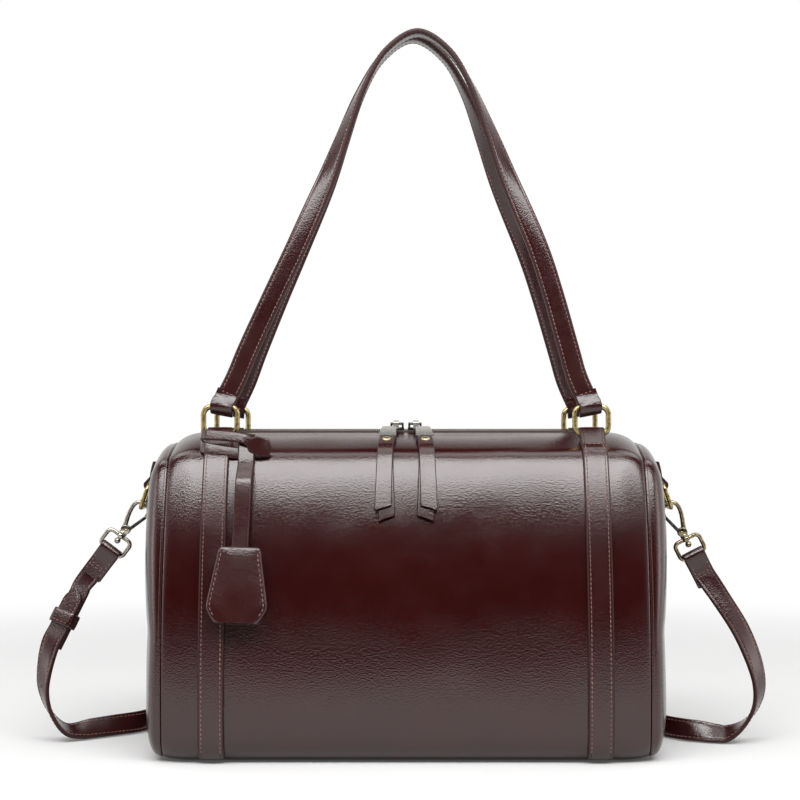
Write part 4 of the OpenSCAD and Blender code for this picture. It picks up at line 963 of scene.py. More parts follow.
def end_ring(side):
    loop = rounded_loop(END_RING_W, END_RING_H, CLIP_WIRE_R, END_RING_BEND)
    path = turned(loop[:, [1, 0, 2]] - (0, 0, END_DROP / 2), Z, X, END_LEAN) + (-END_BAR[0], 0, END_BAR[1])
    up = mirrored_x(turned([(1, 0, 0)], Z, X, END_LEAN), side)[0]
    name = WORDS[side] + "_end_ring"
    ring = wire(name + "_wire", mirrored_x(path, side), CLIP_WIRE_R, BRASS, up=up)
    place(ring, WORDS[side] + "_end_loop", name)


def hook(side):
    """Snap hook with its gate, pin, spring and swivel collar, drawn hanging straight down from its ring."""
    word, move, plate = WORDS[side], at_hook(side), NICKEL if side < 0 else AGED

    def add(name, body, node_name, material, *parts):
        place(merged("%s_%s" % (word, name), parts, material, move), word + body, "%s_%s" % (word, node_name))

    top = [(x, 0, z) for x, z in arc(HOOK_R, 0, 180, 25)]
    spine = [(0.1 - HOOK_R, 0, -2), (0.6 - HOOK_R, 0, -5), (1.6 - HOOK_R, 0, -8.5), (2.7 - HOOK_R, 0, -11.5),
             (-1.7, 0, -14.2)]
    path = np.array([(HOOK_R, 0, -NOSE_L), (HOOK_R, 0, -NOSE_L / 2)] + top + spine)
    radii = np.interp(lengths(path), [0, 3, 12, 20, 30, 40], [1.05, 1.25, 1.3, 1.3, 1.5, 1.9])
    path, radii = resample(path, 0.7, radii)
    brace = [(x, 0, z - PIN_DROP) for x, z in ((-1.6, 2.2), (-1.7, 0), (-1.2, -1.4), (0, -2.4))]
    low = -COLLAR_DROP + COLLAR_L / 2 + PIN_GAP
    flange = [(2.1, low + 2.2), (2.45, low + 1.4)] + disc(COLLAR_R, low, low + 1.2)[::-1]
    cheek = (BLOCK_T - SLOT_T) / 2
    add("hook_body", "_clip", "hook", plate, tube(path, radii),
        *[lathe(disc(BLOCK_R, -cheek / 2, cheek / 2, 0.3), (0, s * (SLOT_T + cheek) / 2, -PIN_DROP), Y)
          for s in (-1, 1)],
        tube(brace, [1.5, 1.1, 1.2, 1.7]),
        lathe(flange),
        lathe([(POST_R, -BALL_DROP), (POST_R, -PIN_DROP - 1)], sides=20),
        lathe(ball(BALL_R), (0, 0, -BALL_DROP), sides=24))
    add("gate_bar", "_clip_gate", "gate", GUNMETAL,
        tube([(PIN_X + 0.9, 0, -PIN_DROP + 0.9), (HOOK_R, 0, -NOSE_L - GATE_GAP - 0.75)], [1.1, GATE_R]),
        lathe(disc(KNUCKLE_R, -KNUCKLE_T / 2, KNUCKLE_T / 2), (PIN_X, 0, -PIN_DROP), Y))
    pin = [(PIN_R * 0.7, 0.35), (PIN_R, 0.2)]
    add("gate_pin_rod", "_clip", "gate_pin", BRASS,
        lathe([(r, -BLOCK_T / 2 - h) for r, h in pin] + [(r, BLOCK_T / 2 + h) for r, h in pin[::-1]],
              (PIN_X, 0, -PIN_DROP), Y, 20))
    turns = [(PIN_X + c, KNUCKLE_T / 2 + 0.3 + SPRING_WIRE_R * k / 39, s - PIN_DROP)
             for k, (c, s) in enumerate(arc(PIN_R + PIN_GAP + SPRING_WIRE_R, 0, 360, 40))]
    add("gate_spring_wire", "_clip", "gate_spring", STEEL, tube(turns, SPRING_WIRE_R, 8))
    loop = rounded_loop(STRAP_RING_W, STRAP_RING_H, CLIP_WIRE_R, STRAP_RING_BEND)
    bore, high = POST_R + PIN_GAP, COLLAR_L / 2
    rings, _ = lathe([(bore, -high), (COLLAR_R - 0.3, -high), (COLLAR_R, 0.3 - high), (COLLAR_R, high - 0.3),
                      (COLLAR_R - 0.3, high), (bore, high)], (0, 0, -COLLAR_DROP))
    add("strap_ring_wire", "_clip_loop", "strap_ring", plate,
        tube(loop - (0, 0, COLLAR_DROP + STRAP_RING_RISE / 2), CLIP_WIRE_R, 16, True),
        (rings.transpose(1, 0, 2), True))


# Shoulder strap: places beside the bag as shares of its reach, depth and the ring bar's height

STRAP_W, STRAP_T, STRAP_REACH, STRAP_BACK = 13.2, 2.4, 83.5, 56
STRAP_FOLD_T, STRAP_STITCH_IN = 1.6, 1.9
STRAP_FOLD_R = CLIP_WIRE_R + FOLD_GAP + STRAP_FOLD_T
STRAP_TAIL_T, STRAP_TAIL_L = 1.8 * STRAP_T, 20
BAR_DROP = COLLAR_DROP + STRAP_RING_RISE + HOOK_PLAY
RIGHT_SHARES = (
    (0.66, -0.05, 0.77, (0.84, 0.36, 0.4)), (0.8, -0.1, 0.6, (0.8, 0.46, 0.34)),
    (0.89, -0.15, 0.43, (0.74, 0.6, 0.2)), (0.92, -0.18, 0.3, (0.64, 0.76, 0.05)),
    (0.89, -0.19, 0.19, (0.45, 0.88, 0.05)),
    (0.8, -0.19, 0.1, (0.3, 0.93, 0.2)), (0.66, -0.17, 0, (0, 0.8, 0.6)), (0.51, -0.14, 0, (0, 0.55, 0.83)),
    (0.36, -0.06, 0, (0, 0.35, 0.93)), (0.25, 0.1, 0, (0, 0.15, 0.98)), (0.22, 0.4, 0, (0, 0, 1)),
    (0.2, 0.75, 0, (0, 0, 1)))
LEFT_SHARES = (
    (0.765, -0.05, 0.787, (0.84, 0.4, 0.38)), (0.825, -0.085, 0.694, (0.84, 0.4, 0.38)),
    (0.885, -0.12, 0.601, (0.84, 0.4, 0.38)), (0.945, -0.155, 0.508, (0.84, 0.42, 0.35)),
    (0.985, -0.17, 0.37, (0.74, 0.66, 0.1)), (0.985, -0.18, 0.26, (0.55, 0.82, 0.05)),
    (0.93, -0.17, 0.145, (0.3, 0.94, 0.05)), (0.83, -0.1, 0.055, (0.12, 0.93, 0.3)),
    (0.68, 0, 0, (0, 0.7, 0.7)), (0.5, 0.12, 0, (0, 0.5, 0.86)), (0.34, 0.26, 0, (0, 0.3, 0.95)),
    (0.26, 0.5, 0, (0, 0, 1)), (0.21, 0.8, 0, (0, 0, 1)))
BACK_SHARES = ((1.03, 0.3), (0.8, 0.72), (0.42, 0.95), (0, 1))
STACK = STRAP_T + 2 * LAYER_GAP
KEEPER_L, KEEPER_WALL, KEEPER_GAP, KEEPER_CORNER, STUD_R, STUD_HEAD_T = 9, 1, 0.3, 1.3, 2.4, 0.7
TIP_L, HOLE_AT, HOLE_RISE = 8.5, 63, 0.2
HOLE_PROFILE = ((0.05, -0.05), (0.8, -0.02), (1.05, 0.05), (1.1, 0.02), (1.15, -0.12))


def sided(w, side):
    return np.array([side * w[0], w[1], w[2]], float)


def tail_point(side, l):
    """Point on the strap's straight end, at a distance below the ring's lower bar."""
    a = math.radians(TILTS[side])
    return sided((CLIP[0] + (BAR_DROP + l) * math.sin(a), 0, CLIP[1] - (BAR_DROP + l) * math.cos(a)), side)


def across_bar(side):
    a = math.radians(TILTS[side])
    return sided((math.cos(a), 0, math.sin(a)), side)


def side_point(s, side):
    c = unit(s[3])[2]
    lying = (STRAP_W * abs(c) + STRAP_T * math.sqrt(max(0, 1 - c * c))) / 2
    z = s[2] * tail_point(side, 0)[2] if s[2] > 0 else lying
    return np.array([side * (BODY_L / 2 + s[0] * STRAP_REACH), s[1] * HALF_D, z])


def back_point(s, side):
    return np.array([side * s[0] * BODY_L / 2, HALF_D + s[1] * STRAP_BACK, STRAP_W / 2])


MAIN_POINTS = ([side_point(s, -1) for s in LEFT_SHARES] + [back_point(s, -1) for s in BACK_SHARES]
               + [back_point(s, 1) for s in BACK_SHARES[-2::-1]]
               + [side_point(s, 1) for s in RIGHT_SHARES[::-1]] + [tail_point(1, STRAP_TAIL_L / 2)])
MAIN_WAYS = ([sided(s[3], -1) for s in LEFT_SHARES] + [np.array([0, 0, 1.0])] * (2 * len(BACK_SHARES) - 1)
             + [sided(s[3], 1) for s in RIGHT_SHARES[::-1]] + [across_bar(1)])
KEEPER_C = (MAIN_POINTS[1] + MAIN_POINTS[2]) / 2
KEEPER_T = unit(MAIN_POINTS[2] - MAIN_POINTS[1])
KEEPER_WAY = unit(MAIN_WAYS[1] - MAIN_WAYS[1].dot(KEEPER_T) * KEEPER_T)
KEEPER_N = np.cross(KEEPER_WAY, KEEPER_T)


def at_keeper(points):
    return np.asarray(points, float) @ np.array([KEEPER_WAY, KEEPER_T, KEEPER_N]) + KEEPER_C


def strap_along(points, ways, steps=8):
    """Strap through given points, lifted where it would go below the floor."""
    p, v = curve(points, steps), curve(ways, steps)
    t = tangents(p)
    w = unit(v - np.sum(v * t, 1, keepdims=True) * t)
    n = np.cross(w, t)
    low = p[:, 2] - (abs(w[:, 2]) * STRAP_W + abs(n[:, 2]) * STRAP_T) / 2
    p[:, 2] -= np.minimum(low, 0)
    return Strap(p, w, n, STRAP_W, STRAP_T, 1.6)


def strap_fold(side):
    """Strap end folded round a ring's lower bar, with the strap sewn between its two layers."""
    mid, layer, reach = STRAP_FOLD_R - STRAP_FOLD_T / 2, 1.1, STRAP_TAIL_T / 2 - 0.5
    leg = np.array([(reach, -STRAP_TAIL_L), (reach, -12), (reach + 0.2, -7), (mid - 0.15, -2.4)])
    line = resample(curve(np.concatenate([leg * (-1, 1), arc(mid, 195, -15, 19), leg[::-1]]), 3), 0.8)
    s = lengths(line)
    thick = np.interp(abs(s / s[-1] - 0.5), [0, 0.12, 0.25, 0.5],
                      [STRAP_FOLD_T, STRAP_FOLD_T, layer, layer - 0.1])
    n = normals_2d(line)
    if n[len(n) // 2][1] < 0:
        n = -n
    base, move, name = HOOK_PLAY - BAR_DROP, at_hook(side), WORDS[side] + "_strap"
    zero, x = move([(0, 0, 0), (1, 0, 0)])
    band = Strap(move([(0, y, base + z) for y, z in line]), x - zero, move([(0, a, b) for a, b in n]) - zero,
                 STRAP_W + 0.5, thick, 0.9)
    place(band.mesh(name + "_fold", STRAP_LEATHER, 0.5, 0, 0, 0.1), "bag")
    core = Strap(move([(0, 0, base - 4.2), (0, 0, base - 9), (0, 0, base - 14)]), x - zero,
                 move([(0, -1, 0)])[0] - zero, STRAP_W - 0.4, 2.4, 1)
    place(core.mesh(name + "_core", EDGE_PAINT, 0.4, 0, 0, 0), "bag")
    rows = [band.cross(at, 1.7) for at in (6.6, 8.2, band.s[-1] - 6.6, band.s[-1] - 8.2)]
    for k in (-1, 1):
        points, ways = band.line(1.8, side=k)
        half = len(points) // 2
        rows += [(points[part], ways[part]) for part in (slice(1, half - 9), slice(half + 10, -1))]
    stitches(name + "_fold_stitches", rows, "bag", 2.9, 2.1, 0.3)


def sewn_strap(name, s, start, end, *rows):
    place(s.mesh(name + "_leather", STRAP_LEATHER, 0.75, STRAP_STITCH_IN, 0.14, 0.12), "bag", name)
    stitches(name + "_stitches", s.four_lines(STRAP_STITCH_IN, start, end) + list(rows), "bag")


def shoulder_strap():
    """The strap in one piece from its tip round the back to the right hook, and its short left end."""
    s = strap_along(MAIN_POINTS, MAIN_WAYS).rounded(start=TIP_L)
    sewn_strap("shoulder_strap", s, 5.5, 8, tip_line(s))
    strap_fold(1)
    strap_hole(s)
    lead = MAIN_POINTS[0] - 0.5 * (MAIN_POINTS[1] - MAIN_POINTS[0])
    points = [tail_point(-1, STRAP_TAIL_L / 2)] + [p - STACK * KEEPER_N for p in [lead] + MAIN_POINTS[:4]]
    sewn_strap("strap_end", strap_along(points, [across_bar(-1)] + [MAIN_WAYS[1]] * 5), 8, 2)
    strap_fold(-1)


def tip_line(s):
    """Row of stitches round the strap's tip."""
    points, ways = [], []
    half = STRAP_W / 2 - STRAP_STITCH_IN
    for a in np.radians(np.linspace(-78, 78, 13)):
        at = 2.0 + 5.2 * (1 - math.cos(a))
        k = int(np.argmin(abs(s.s - at)))
        points.append(s.p[k] + (at - s.s[k]) * s.t[k] + half * math.sin(a) * s.w[k] + s.half_t[k] * s.n[k])
        ways.append(s.n[k])
    return points, ways


def strap_hole(s):
    """Punched adjusting hole, drawn as a near-black dish of painted shade, with a pressed rim on both faces.
    """
    k = int(np.argmin(abs(s.s - HOLE_AT)))
    parts = []
    for n in (s.n[k], -s.n[k]):
        c = s.p[k] + (s.half_t[k] + HOLE_RISE) * n
        rings = [[c + a * s.w[k] + b * s.t[k] + h * n for a, b in circle(r, 20)] for r, h in HOLE_PROFILE]
        parts.append((rings, False))
    place(merged("strap_holes", parts, HOLE_SHADE), "bag")


def keeper():
    """Leather loop that slides on the strap, and the stud under it that fastens the strap's tip."""
    w = STRAP_W + 2 * KEEPER_GAP + KEEPER_WALL
    t = STRAP_T + STACK + 2 * (STUD_HEAD_T + SOFT_GAP) + KEEPER_WALL
    loop = closed_line(corners(w / 2 - KEEPER_CORNER, t / 2 - KEEPER_CORNER, KEEPER_CORNER, 6), 0.7)
    out = tangents(loop, True)[:, ::-1] * (1, -1)
    half = KEEPER_L / 2
    section = [(-half + 0.35, 0.5), (-half, 0.2), (-half, -0.2), (-half + 0.3, -0.5), (half - 0.3, -0.5),
               (half, -0.2), (half, 0.2), (half - 0.35, 0.5), (half - 1.6, 0.58), (0, 0.66),
               (-half + 1.6, 0.58)]
    rings = [[(p[0] + o[0] * h, y, p[1] + o[1] * h - STACK / 2) for y, h in section]
             for p, o in zip(loop, out * KEEPER_WALL)]
    place(merged("strap_keeper_loop", [(rings, True)], STRAP_LEATHER, at_keeper), "keeper", "strap_keeper")
    rows = []
    for face in (1, -1):
        z = face * (t / 2 + 0.58 * KEEPER_WALL) - STACK / 2
        for y in (-half + 1.7, half - 1.7):
            rows.append((at_keeper([(x, y, z) for x in np.linspace(-w / 2 + 1.3, w / 2 - 1.3, 9)]),
                         [face * KEEPER_N] * 9))
    stitches("strap_keeper_stitches", rows, "keeper", 2.9, 2.1, 0.3)
    reach = STRAP_T / 2 + LAYER_GAP / 2
    head = [(STUD_R, reach), (STUD_R, reach + 0.3), (0.8 * STUD_R, reach + 0.6), (0.3, reach + 0.66)]
    parts = [lathe(head), lathe([(1.2, -STACK - reach), (1.2, reach)]),
             lathe([(r, -STACK - h) for r, h in head[::-1]])]
    place(merged("strap_stud_metal", parts, BRASS, at_keeper), "bag", "strap_stud")


# Key holder: loop round the body strap, hanging strap, bell and key ring

KEY_X, KEY_LOOP_T, KEY_STRAP_T, KEY_STRAP_W = STRAP_X - 18, 1.8, 2, 9.6
LOOP_X, LOOP_LOW_Z = -STRAP_X - 8.6, CREASE_Z - 2
BELL_W, BELL_H, BELL_T, BELL_SPACE, BELL_RIM, BELL_TILT = 36.5, 44.5, 1.5, 4.6, 3, 14
BELL_TOP_Z = 0.651 * BODY_H
BELL_IN = (LAYER_GAP + BODY_STRAP_T + 2 * SOFT_GAP
           + (BELL_SPACE / 2 + BELL_T) / math.cos(math.radians(BELL_TILT)))
BELL_U = outline_u(BELL_TOP_Z) + BELL_IN
KEY_TOP_Z = LOOP_LOW_Z - SOFT_GAP - KEY_STRAP_T
KEY_BEND_Z, KEY_BEND_UP, KEY_IN_BELL, KEY_LEAN = 0.83 * BODY_H, 4.5, 21, 1.7
KEY_RING_R, KEY_WIRE_R, KEY_EYE_DROP = 7.5, 0.8, 24
HANG_TOP = np.array([-KEY_X, -outline_u(KEY_TOP_Z), KEY_TOP_Z])
BELL_SIDES = ((0, 0.57), (0.012, 0.635), (0.03, 0.672), (0.06, 0.698), (0.2, 0.752), (0.4, 0.833),
              (0.6, 0.916), (0.7, 0.955), (0.76, 0.976), (0.8, 0.975), (0.84, 0.935), (0.9, 0.85),
              (0.95, 0.775), (0.985, 0.71), (1, 0.655))
BELL_STITCH_IN, BELL_DOME, BELL_DOME_W = 2.4, 0.9, 3.4


def leaning(points):
    """Turns the hanging pieces a little to the left, as they hang in use."""
    return turned(points, Z, X, KEY_LEAN, HANG_TOP)


def hanging(points):
    """Move from a bell drawn upright about its top to its place on the bag."""
    return leaning(turned(points, Y, Z, -BELL_TILT) + (-KEY_X, -BELL_U, BELL_TOP_Z))


def loop_band(points, ways, width):
    p = curve([(LOOP_X + x, y, z) for x, y, z in points], 10)
    out = curve(ways, 10)
    return Strap(p, np.cross(tangents(p), out), out, width, KEY_LOOP_T, 0.8)


def key_loop():
    """Two bands round the body strap that meet over the hanging strap and end in a rounded tab."""
    front = [(-0.05, -0.95, 0.3)] * 4
    lower = loop_band([(-0.9, -46.5, 183.6), (0.4, -50.6, 182.6), (4, -52.6, 181.8), (12, -53.2, 180.3),
                       (19, -53.2, 179.3), (25, -52.4, 178.9)],
                      [(-1, -0.2, 0.1), (-0.7, -0.7, 0.2)] + front, 7)
    place(lower.mesh("key_loop_lower", STRAP_LEATHER, 0.75, 0, 0, 0.2), "bag", "key_loop")
    upper = loop_band([(-1.2, -44.5, 190.4), (0.2, -49.6, 190.2), (4, -52.2, 190), (12, -53.4, 189.5),
                       (19.5, -54.2, 188.8), (25.5, -55.4, 187.6), (30.5, -55.2, 184.7), (35.5, -53.8, 182.8),
                       (41, -52.4, 182.3)],
                      [(-1, -0.2, 0.1), (-0.6, -0.75, 0.25)] + front + [(0.12, -1, 0.2)] * 3, 6.4)
    end = upper.s[-1]
    upper.half_w = np.interp(upper.s, [0, end - 17, end - 14, end - 11.5, end - 10, end],
                             [3.2, 3, 3, 5, 5.6, 5.6])
    upper.rounded(end=2.4)
    place(upper.mesh("key_loop_upper", STRAP_LEATHER, 0.75, 0, 0, 0.08), "bag")
    down = ((47, 189.6), (51.2, 187.6), (53.4, 183.5), (55.2, 179.5), (57, 175.2), (58.2, 171.5))
    path = [(-KEY_X - 0.2, -u, z) for u, z in down]
    hanger = Strap(curve(path, 8), (1, 0, 0), (0, -0.92, 0.35), KEY_STRAP_W, KEY_STRAP_T - 0.2, 0.8)
    place(hanger.mesh("key_loop_hanger", STRAP_LEATHER, 0.7, 0, 0, 0.15), "bag")


def key_strap():
    """Strap that hangs into the bell, narrow at its end, with an eye that holds the key ring."""
    top = np.array([outline_u(KEY_TOP_Z) + SOFT_GAP + KEY_STRAP_T / 2, KEY_TOP_Z])
    a = math.radians(BELL_TILT)
    at_bend = np.array([BELL_U - (KEY_BEND_Z - BELL_TOP_Z) * math.tan(a), KEY_BEND_Z])
    low = np.array([BELL_U + KEY_IN_BELL * math.sin(a), BELL_TOP_Z - KEY_IN_BELL * math.cos(a)])
    at_bend = at_bend + KEY_BEND_UP * unit(at_bend - low)
    line = [top, top * 0.55 + at_bend * 0.45, at_bend * 0.88 + top * 0.12, at_bend * 0.93 + low * 0.07,
            at_bend * 0.6 + low * 0.4, low]
    points = leaning(curve([(-KEY_X, -u, z) for u, z in line], 8))
    s = Strap(points, (1, 0, 0), (0, -1, 0.05), KEY_STRAP_W, KEY_STRAP_T, 1.1)
    left = s.s[-1] - s.s
    s.half_w = np.where(left < 8, 1.5 + (KEY_STRAP_W / 2 - 1.5) * np.clip(left / 8, 0, 1), s.half_w)
    place(s.mesh("key_strap_leather", STRAP_LEATHER, 0.7, 0, 0, 0.15), "key_hanger", "key_strap")
    section = ((-1.5, 1.2), (1.5, 1.2), (1.5, 1.8), (-1.5, 1.8))
    rings = [[(w, r * b, r * c - KEY_EYE_DROP) for w, r in section] for b, c in circle(1, 24)]
    place(merged("key_strap_eye", [(rings, True)], EDGE_PAINT, hanging), "key_hanger")
    loop = [(x, 0, z - KEY_EYE_DROP - KEY_RING_R) for z, x in circle(KEY_RING_R, 60)]
    ring = merged("key_ring_wire", [tube(loop, KEY_WIRE_R, 12, True)], BRASS, hanging)
    place(ring, "key_loop_ring", "key_ring")


def bell_half_w(t):
    return BELL_W / 2 * float(np.interp(t, *zip(*BELL_SIDES)))


def bell_dome(inset):
    """How far the bell's face has risen at a distance in from its edge."""
    return 1 - BELL_DOME * math.exp(-inset / BELL_DOME_W)


def bell_face(back):
    """One domed face of the bell, hollow inside, with a mouth at the top for the strap."""
    downs = np.concatenate([[0, 0.005, 0.012, 0.02, 0.03], np.linspace(0.05, 0.97, 26), [0.985, 0.994, 1]])
    rim = np.array([-1, -0.985, -0.955, -0.92])
    acrosses = np.concatenate([rim, np.linspace(-0.86, 0.86, 25), -rim[::-1]])
    mouth_w, mouth_t = KEY_STRAP_W / 2 + 1.8, KEY_STRAP_T / 2 + 0.2
    thick = BELL_SPACE / 2 + BELL_T
    outer, inner = [], []
    for t in np.round(downs, 4):
        w = bell_half_w(t)
        for i in acrosses:
            x, z = w * i, -BELL_H * t
            from_side, from_top = w * (1 - abs(i)), BELL_H * t
            edge = min(from_side, from_top, BELL_H * (1 - t) * 1.4) / 0.9
            rise = math.sqrt(1 - (1 - min(1.0, edge)) ** 2)
            dome = max(0.0, bell_dome(min(from_side, from_top + 1.5)))
            body_t = (0.62 + 0.38 * dome) * thick * rise
            groove = 0.12 * math.exp(-((from_side - BELL_STITCH_IN) / 0.5) ** 2) if t < 0.93 else 0
            hollow = min(1.0, max(0.0, (min(from_side, from_top) - BELL_RIM) / 1.2))
            mouth = min(1.0, max(0.0, (mouth_w - abs(x)) / 1.2)) * mouth_t * (t < 0.6)
            space = max(0.03, (BELL_SPACE / 2 - 0.2) * hollow * dome, mouth)
            outer.append((x, back * max(0.35, body_t - groove, mouth + 0.85 * (mouth > 0)), z))
            inner.append((x, back * space, z))
    outer, inner = (hanging(points).reshape(len(downs), len(acrosses), 3) for points in (outer, inner))
    word = "back" if back > 0 else "front"
    place(slab("bell_%s_leather" % word, outer, inner, STRAP_LEATHER), "bell", "bell_" + word)
    rows = []
    y = back * ((0.62 + 0.38 * bell_dome(BELL_STITCH_IN)) * thick - 0.1)
    for side in (-1, 1):
        line = hanging([(side * (bell_half_w(t) - BELL_STITCH_IN), y, -BELL_H * t)
                        for t in np.linspace(0.055, 0.93, 30)])
        zero, out = hanging([(0, 0, 0), (0.25 * side, back, 0)])
        rows.append((line, [unit(out - zero)] * len(line)))
    stitches("bell_%s_stitches" % word, rows, "bell", 2.9, 2.1, 0.28)


# Zip pulls

PULL_X, PULL_TURN, PULL_W, PULL_LAYER_T, PULL_SLANT, PULL_END_Z = 9.6, 3, 9, 1.1, 18, 141
CAP_T, RIVET_U, RIVET_R = 0.6, 39, 2.7
LEATHER_D = SOFT_GAP + CAP_T + LAYER_GAP
PULL_T = 2 * PULL_LAYER_T + LAYER_GAP
RIVET_HEAD = ((1, -0.1), (1, 0.15), (0.92, 0.45), (0.7, 0.75), (0.35, 0.9), (0.05 / RIVET_R, 0.95))


def at_pull(points, side):
    return turned(points, X, Y, side * PULL_TURN) + (side * PULL_X, 0, 0)


def pull_tab(side):
    """Two layers of leather, the rear one longer and turned aside at its end."""
    zero, x = at_pull([(0, 0, 0), (1, 0, 0)], side)
    body, name = WORDS[side] + "_pull", WORDS[side] + "_pull_tab"
    for layer, depth, drift, lifted, low in (("front", 1.55, 0.3 * side, 0.9, PULL_END_Z + 5.5),
                                             ("rear", 0.5, -1.9 * side, 0, PULL_END_Z)):
        slope = [on_slope(u) for u in np.linspace(22, CREASE_U - 3, 8)]
        face = [p for p in OUTLINE[TOP_STEPS:TOP_STEPS + 1 + FACE_STEPS] if p[1] > low + 1]
        line = np.array(slope + face + [(outline_u(low), low)])
        n = normals_2d(line)
        mid = line + n * (LEATHER_D + depth * PULL_LAYER_T)
        share = lengths(mid) / lengths(mid)[-1]
        rise = np.interp(share, [0, 0.6, 1], [0, 0, lifted])
        aside = np.interp(share, [0, 0.45, 1], [0, 0, drift])
        points = [(a, -u - r * m[0], z + r * m[1]) for a, r, m, (u, z) in zip(aside, rise, n, mid)]
        out = at_pull([(0, -a, b) for a, b in n], side) - zero
        s = Strap(at_pull(points, side), x - zero, out, PULL_W + 0.5, PULL_LAYER_T, 0.8)
        s.half_w = s.half_w * np.interp(s.s, [0, 10, 22, s.s[-1]], [0.92, 0.95, 0.98, 1.04])
        slant = math.copysign(math.tan(math.radians(PULL_SLANT)), s.w[0][0]) * side
        place(s.mesh("%s_%s" % (name, layer), STRAP_LEATHER, 0.5, 0, 0, 0.1, slant), body,
              *([name] if layer == "front" else []))


def rivet(side):
    a = on_slope(RIVET_U)
    n = on_slope(RIVET_U, 1) - a
    top = LEATHER_D + PULL_T + 0.05

    def move(points):
        lean = math.degrees(math.atan2(n[0], n[1]))
        return at_pull(turned(points, Y, Z, lean) + (0, -a[0], a[1]), side)

    parts = [lathe([(RIVET_R * r, top + h) for r, h in RIVET_HEAD]),
             lathe([(1.1, LEATHER_D - 0.4), (1.1, top)]),
             lathe([(RIVET_R, LEATHER_D - CAP_T - 0.07), (RIVET_R, LEATHER_D - 0.08)])]
    name = WORDS[side] + "_pull_rivet"
    place(merged(name + "_metal", parts, RIVET_BRASS, move), WORDS[side] + "_pull", name)


def dress(node_name, material):
    """Gives a CAD piece that stays a better material."""
    piece = bpy.data.objects[node_name]
    piece.data.materials.clear()
    piece.data.materials.append(material)


for side, word in ((-1, "front"), (1, "back")):
    panel(side, word)
    zip_tape(side, word)
    zip_teeth(side, word)
    handle(side, word)
    for end in (-1, 1):
        body_strap(end, side, word)
        handle_ring(end, side, word)
    bell_face(side)
base()
lining()
pocket()
for side in (-1, 1):
    for build in (end_panel, piping, zip_end, end_tab, end_ring, hook, pull_tab, rivet):
        build(side)
    dress(WORDS[side] + "_zip_slider", GUNMETAL)
    dress(WORDS[side] + "_pull_cap", NICKEL)
shoulder_strap()
keeper()
key_loop()
key_strap()
dress("base_board", BOARD)


# Floor, light and camera

FLOOR_GLOW, DARK_SIDE = 0.06, 0.01


def seen_share(tree, seen, unseen):
    """One value for camera, glossy and transmission rays, and another for diffuse light."""
    ray = node(tree, "ShaderNodeLightPath")
    sharp = math_node(tree, "MAXIMUM", ray.outputs["Is Camera Ray"], ray.outputs["Is Glossy Ray"])
    either = math_node(tree, "MAXIMUM", sharp, ray.outputs["Is Transmission Ray"])
    return math_node(tree, "ADD", math_node(tree, "MULTIPLY", either, seen - unseen), unseen)


def smooth_step(tree, value, low, high, at_low=0.0, at_high=1.0):
    n = node(tree, "ShaderNodeMapRange", interpolation_type="SMOOTHSTEP")
    tree.links.new(value, n.inputs["Value"])
    for key, v in (("From Min", low), ("From Max", high), ("To Min", at_low), ("To Max", at_high)):
        n.inputs[key].default_value = v
    return n.outputs["Result"]


def floor_material():
    """White floor that keeps the shadow near the bag and runs into the white background further off."""
    m, tree, shader = new_material("studio_white")
    paint(tree, shader, "Base Color", object_noise(tree, 2, 2), (0.3, 0.7), (0.56, 0.575))
    shader.inputs["Roughness"].default_value = 0.9
    shader.inputs["Specular IOR Level"].default_value = 0.05
    shader.inputs["Emission Color"].default_value = (1, 1, 1, 1)
    tree.links.new(seen_share(tree, FLOOR_GLOW, 0.0), shader.inputs["Emission Strength"])
    far = node(tree, "ShaderNodeVectorMath", operation="LENGTH")
    tree.links.new(node(tree, "ShaderNodeTexCoord").outputs["Object"], far.inputs[0])
    glow = node(tree, "ShaderNodeEmission")
    tree.links.new(seen_share(tree, 1.0, 0.4), glow.inputs["Strength"])
    mix = node(tree, "ShaderNodeMixShader")
    for k, value in enumerate((smooth_step(tree, far.outputs["Value"], 0.35, 0.95), shader.outputs[0],
                               glow.outputs[0])):
        tree.links.new(value, mix.inputs[k])
    tree.links.new(mix.outputs[0], tree.nodes["Material Output"].inputs["Surface"])
    return m


def floor():
    """Round floor, wide enough to reach the background."""
    points = [(x, y, 0) for r in (300, 900, 2500, 9000) for x, y in circle(r, 64)] + [(0, 0, 0)]
    faces = [(j, (j + 1) % 64, 256) for j in range(64)]
    for a in (0, 64, 128):
        faces += [(a + j, a + (j + 1) % 64, a + 64 + (j + 1) % 64, a + 64 + j) for j in range(64)]
    sheet = make("floor", points, faces, floor_material())
    sheet.location.z = -0.0004


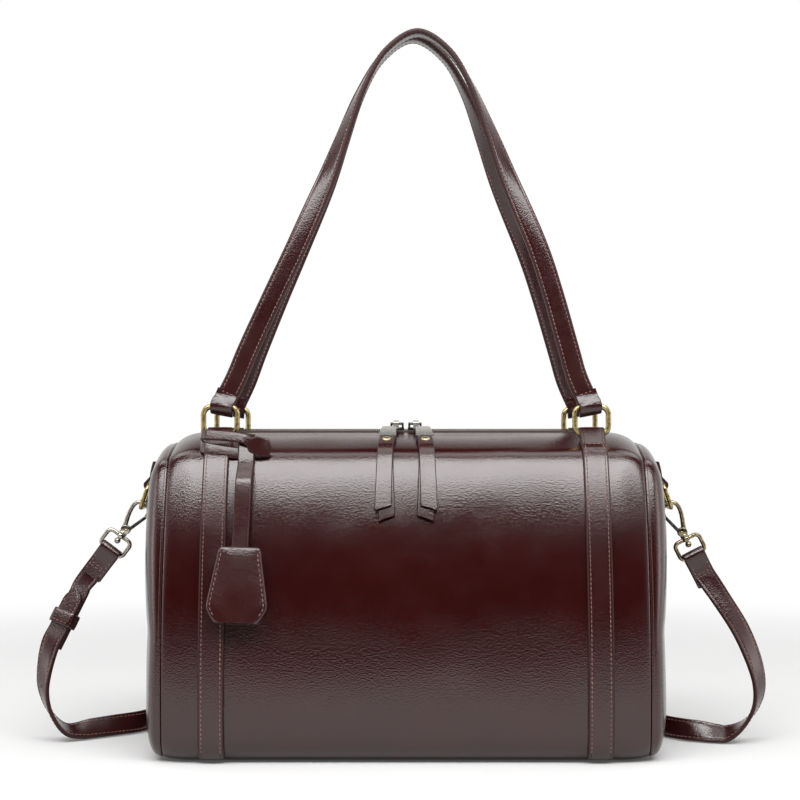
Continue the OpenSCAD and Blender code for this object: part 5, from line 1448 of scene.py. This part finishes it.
def area(name, azimuth, elevation, away, size, radiance, colour=(1, 1, 1), aim=(0, -0.03, 0.14)):
    """Soft box in metres, placed by its direction from the bag, where azimuth 0 is the front."""
    a, e = math.radians(azimuth), math.radians(elevation)
    spot = Vector(aim) + away * Vector((math.sin(a) * math.cos(e), -math.cos(a) * math.cos(e), math.sin(e)))
    light = bpy.data.lights.new(name, "AREA")
    light.shape = "RECTANGLE"
    light.size, light.size_y = size
    light.energy = radiance * math.pi * size[0] * size[1]
    light.color = colour
    lamp = bpy.data.objects.new(name, light)
    lamp.location = spot
    lamp.rotation_euler = (Vector(aim) - spot).to_track_quat("-Z", "Y").to_euler()
    bpy.context.scene.collection.objects.link(lamp)


floor()
area("key_softbox", 0, 51.5, 1.5, (1.5, 0.75), 8.4)
area("left_wing", -52, 44, 1.5, (0.5, 0.6), 6.5)
area("right_wing", 52, 44, 1.5, (0.5, 0.6), 6.5)
area("left_softbox", -84, 14, 1.6, (0.5, 0.9), 2, (1, 0.84, 0.76))
area("right_softbox", 84, 14, 1.6, (0.5, 0.9), 2, (1, 0.84, 0.76))
area("top_softbox", 0, 90, 1.5, (1.5, 0.7), 2.4)
area("left_back_wing", -125, 52, 1.8, (0.7, 0.7), 2.5)
area("right_back_wing", 125, 52, 1.8, (0.7, 0.7), 2.5)

world = bpy.data.worlds.new("studio")
bpy.context.scene.world = world
world.use_nodes = True
tree = world.node_tree
shade = tree.nodes["Background"]
shade.inputs["Color"].default_value = (1, 1, 1, 1)
split = node(tree, "ShaderNodeSeparateXYZ")
tree.links.new(node(tree, "ShaderNodeTexCoord").outputs["Generated"], split.inputs[0])
behind = smooth_step(tree, split.outputs["Y"], -0.75, -0.3, DARK_SIDE, 1.0)
low = smooth_step(tree, split.outputs["Z"], 0.33, 0.8, 1.0, DARK_SIDE)
bright = math_node(tree, "MINIMUM", behind, low)
tree.links.new(math_node(tree, "MULTIPLY", bright, seen_share(tree, 1.0, 0.75)), shade.inputs["Strength"])

# The photo is 800 pixels wide, and its camera is level, with a focal length of 1594 of those pixels
scene = bpy.context.scene
camera = bpy.data.cameras.new("camera")
camera.sensor_width = 36
camera.lens = 36 * 1594 / 800
camera.shift_x = -6 / 800
camera.shift_y = 35 / 800
view = bpy.data.objects.new("camera", camera)
view.location = (0, -1.0, 0.19)
view.rotation_euler = (math.pi / 2, 0, 0)
scene.collection.objects.link(view)
scene.camera = view
scene.view_settings.view_transform = "Standard"
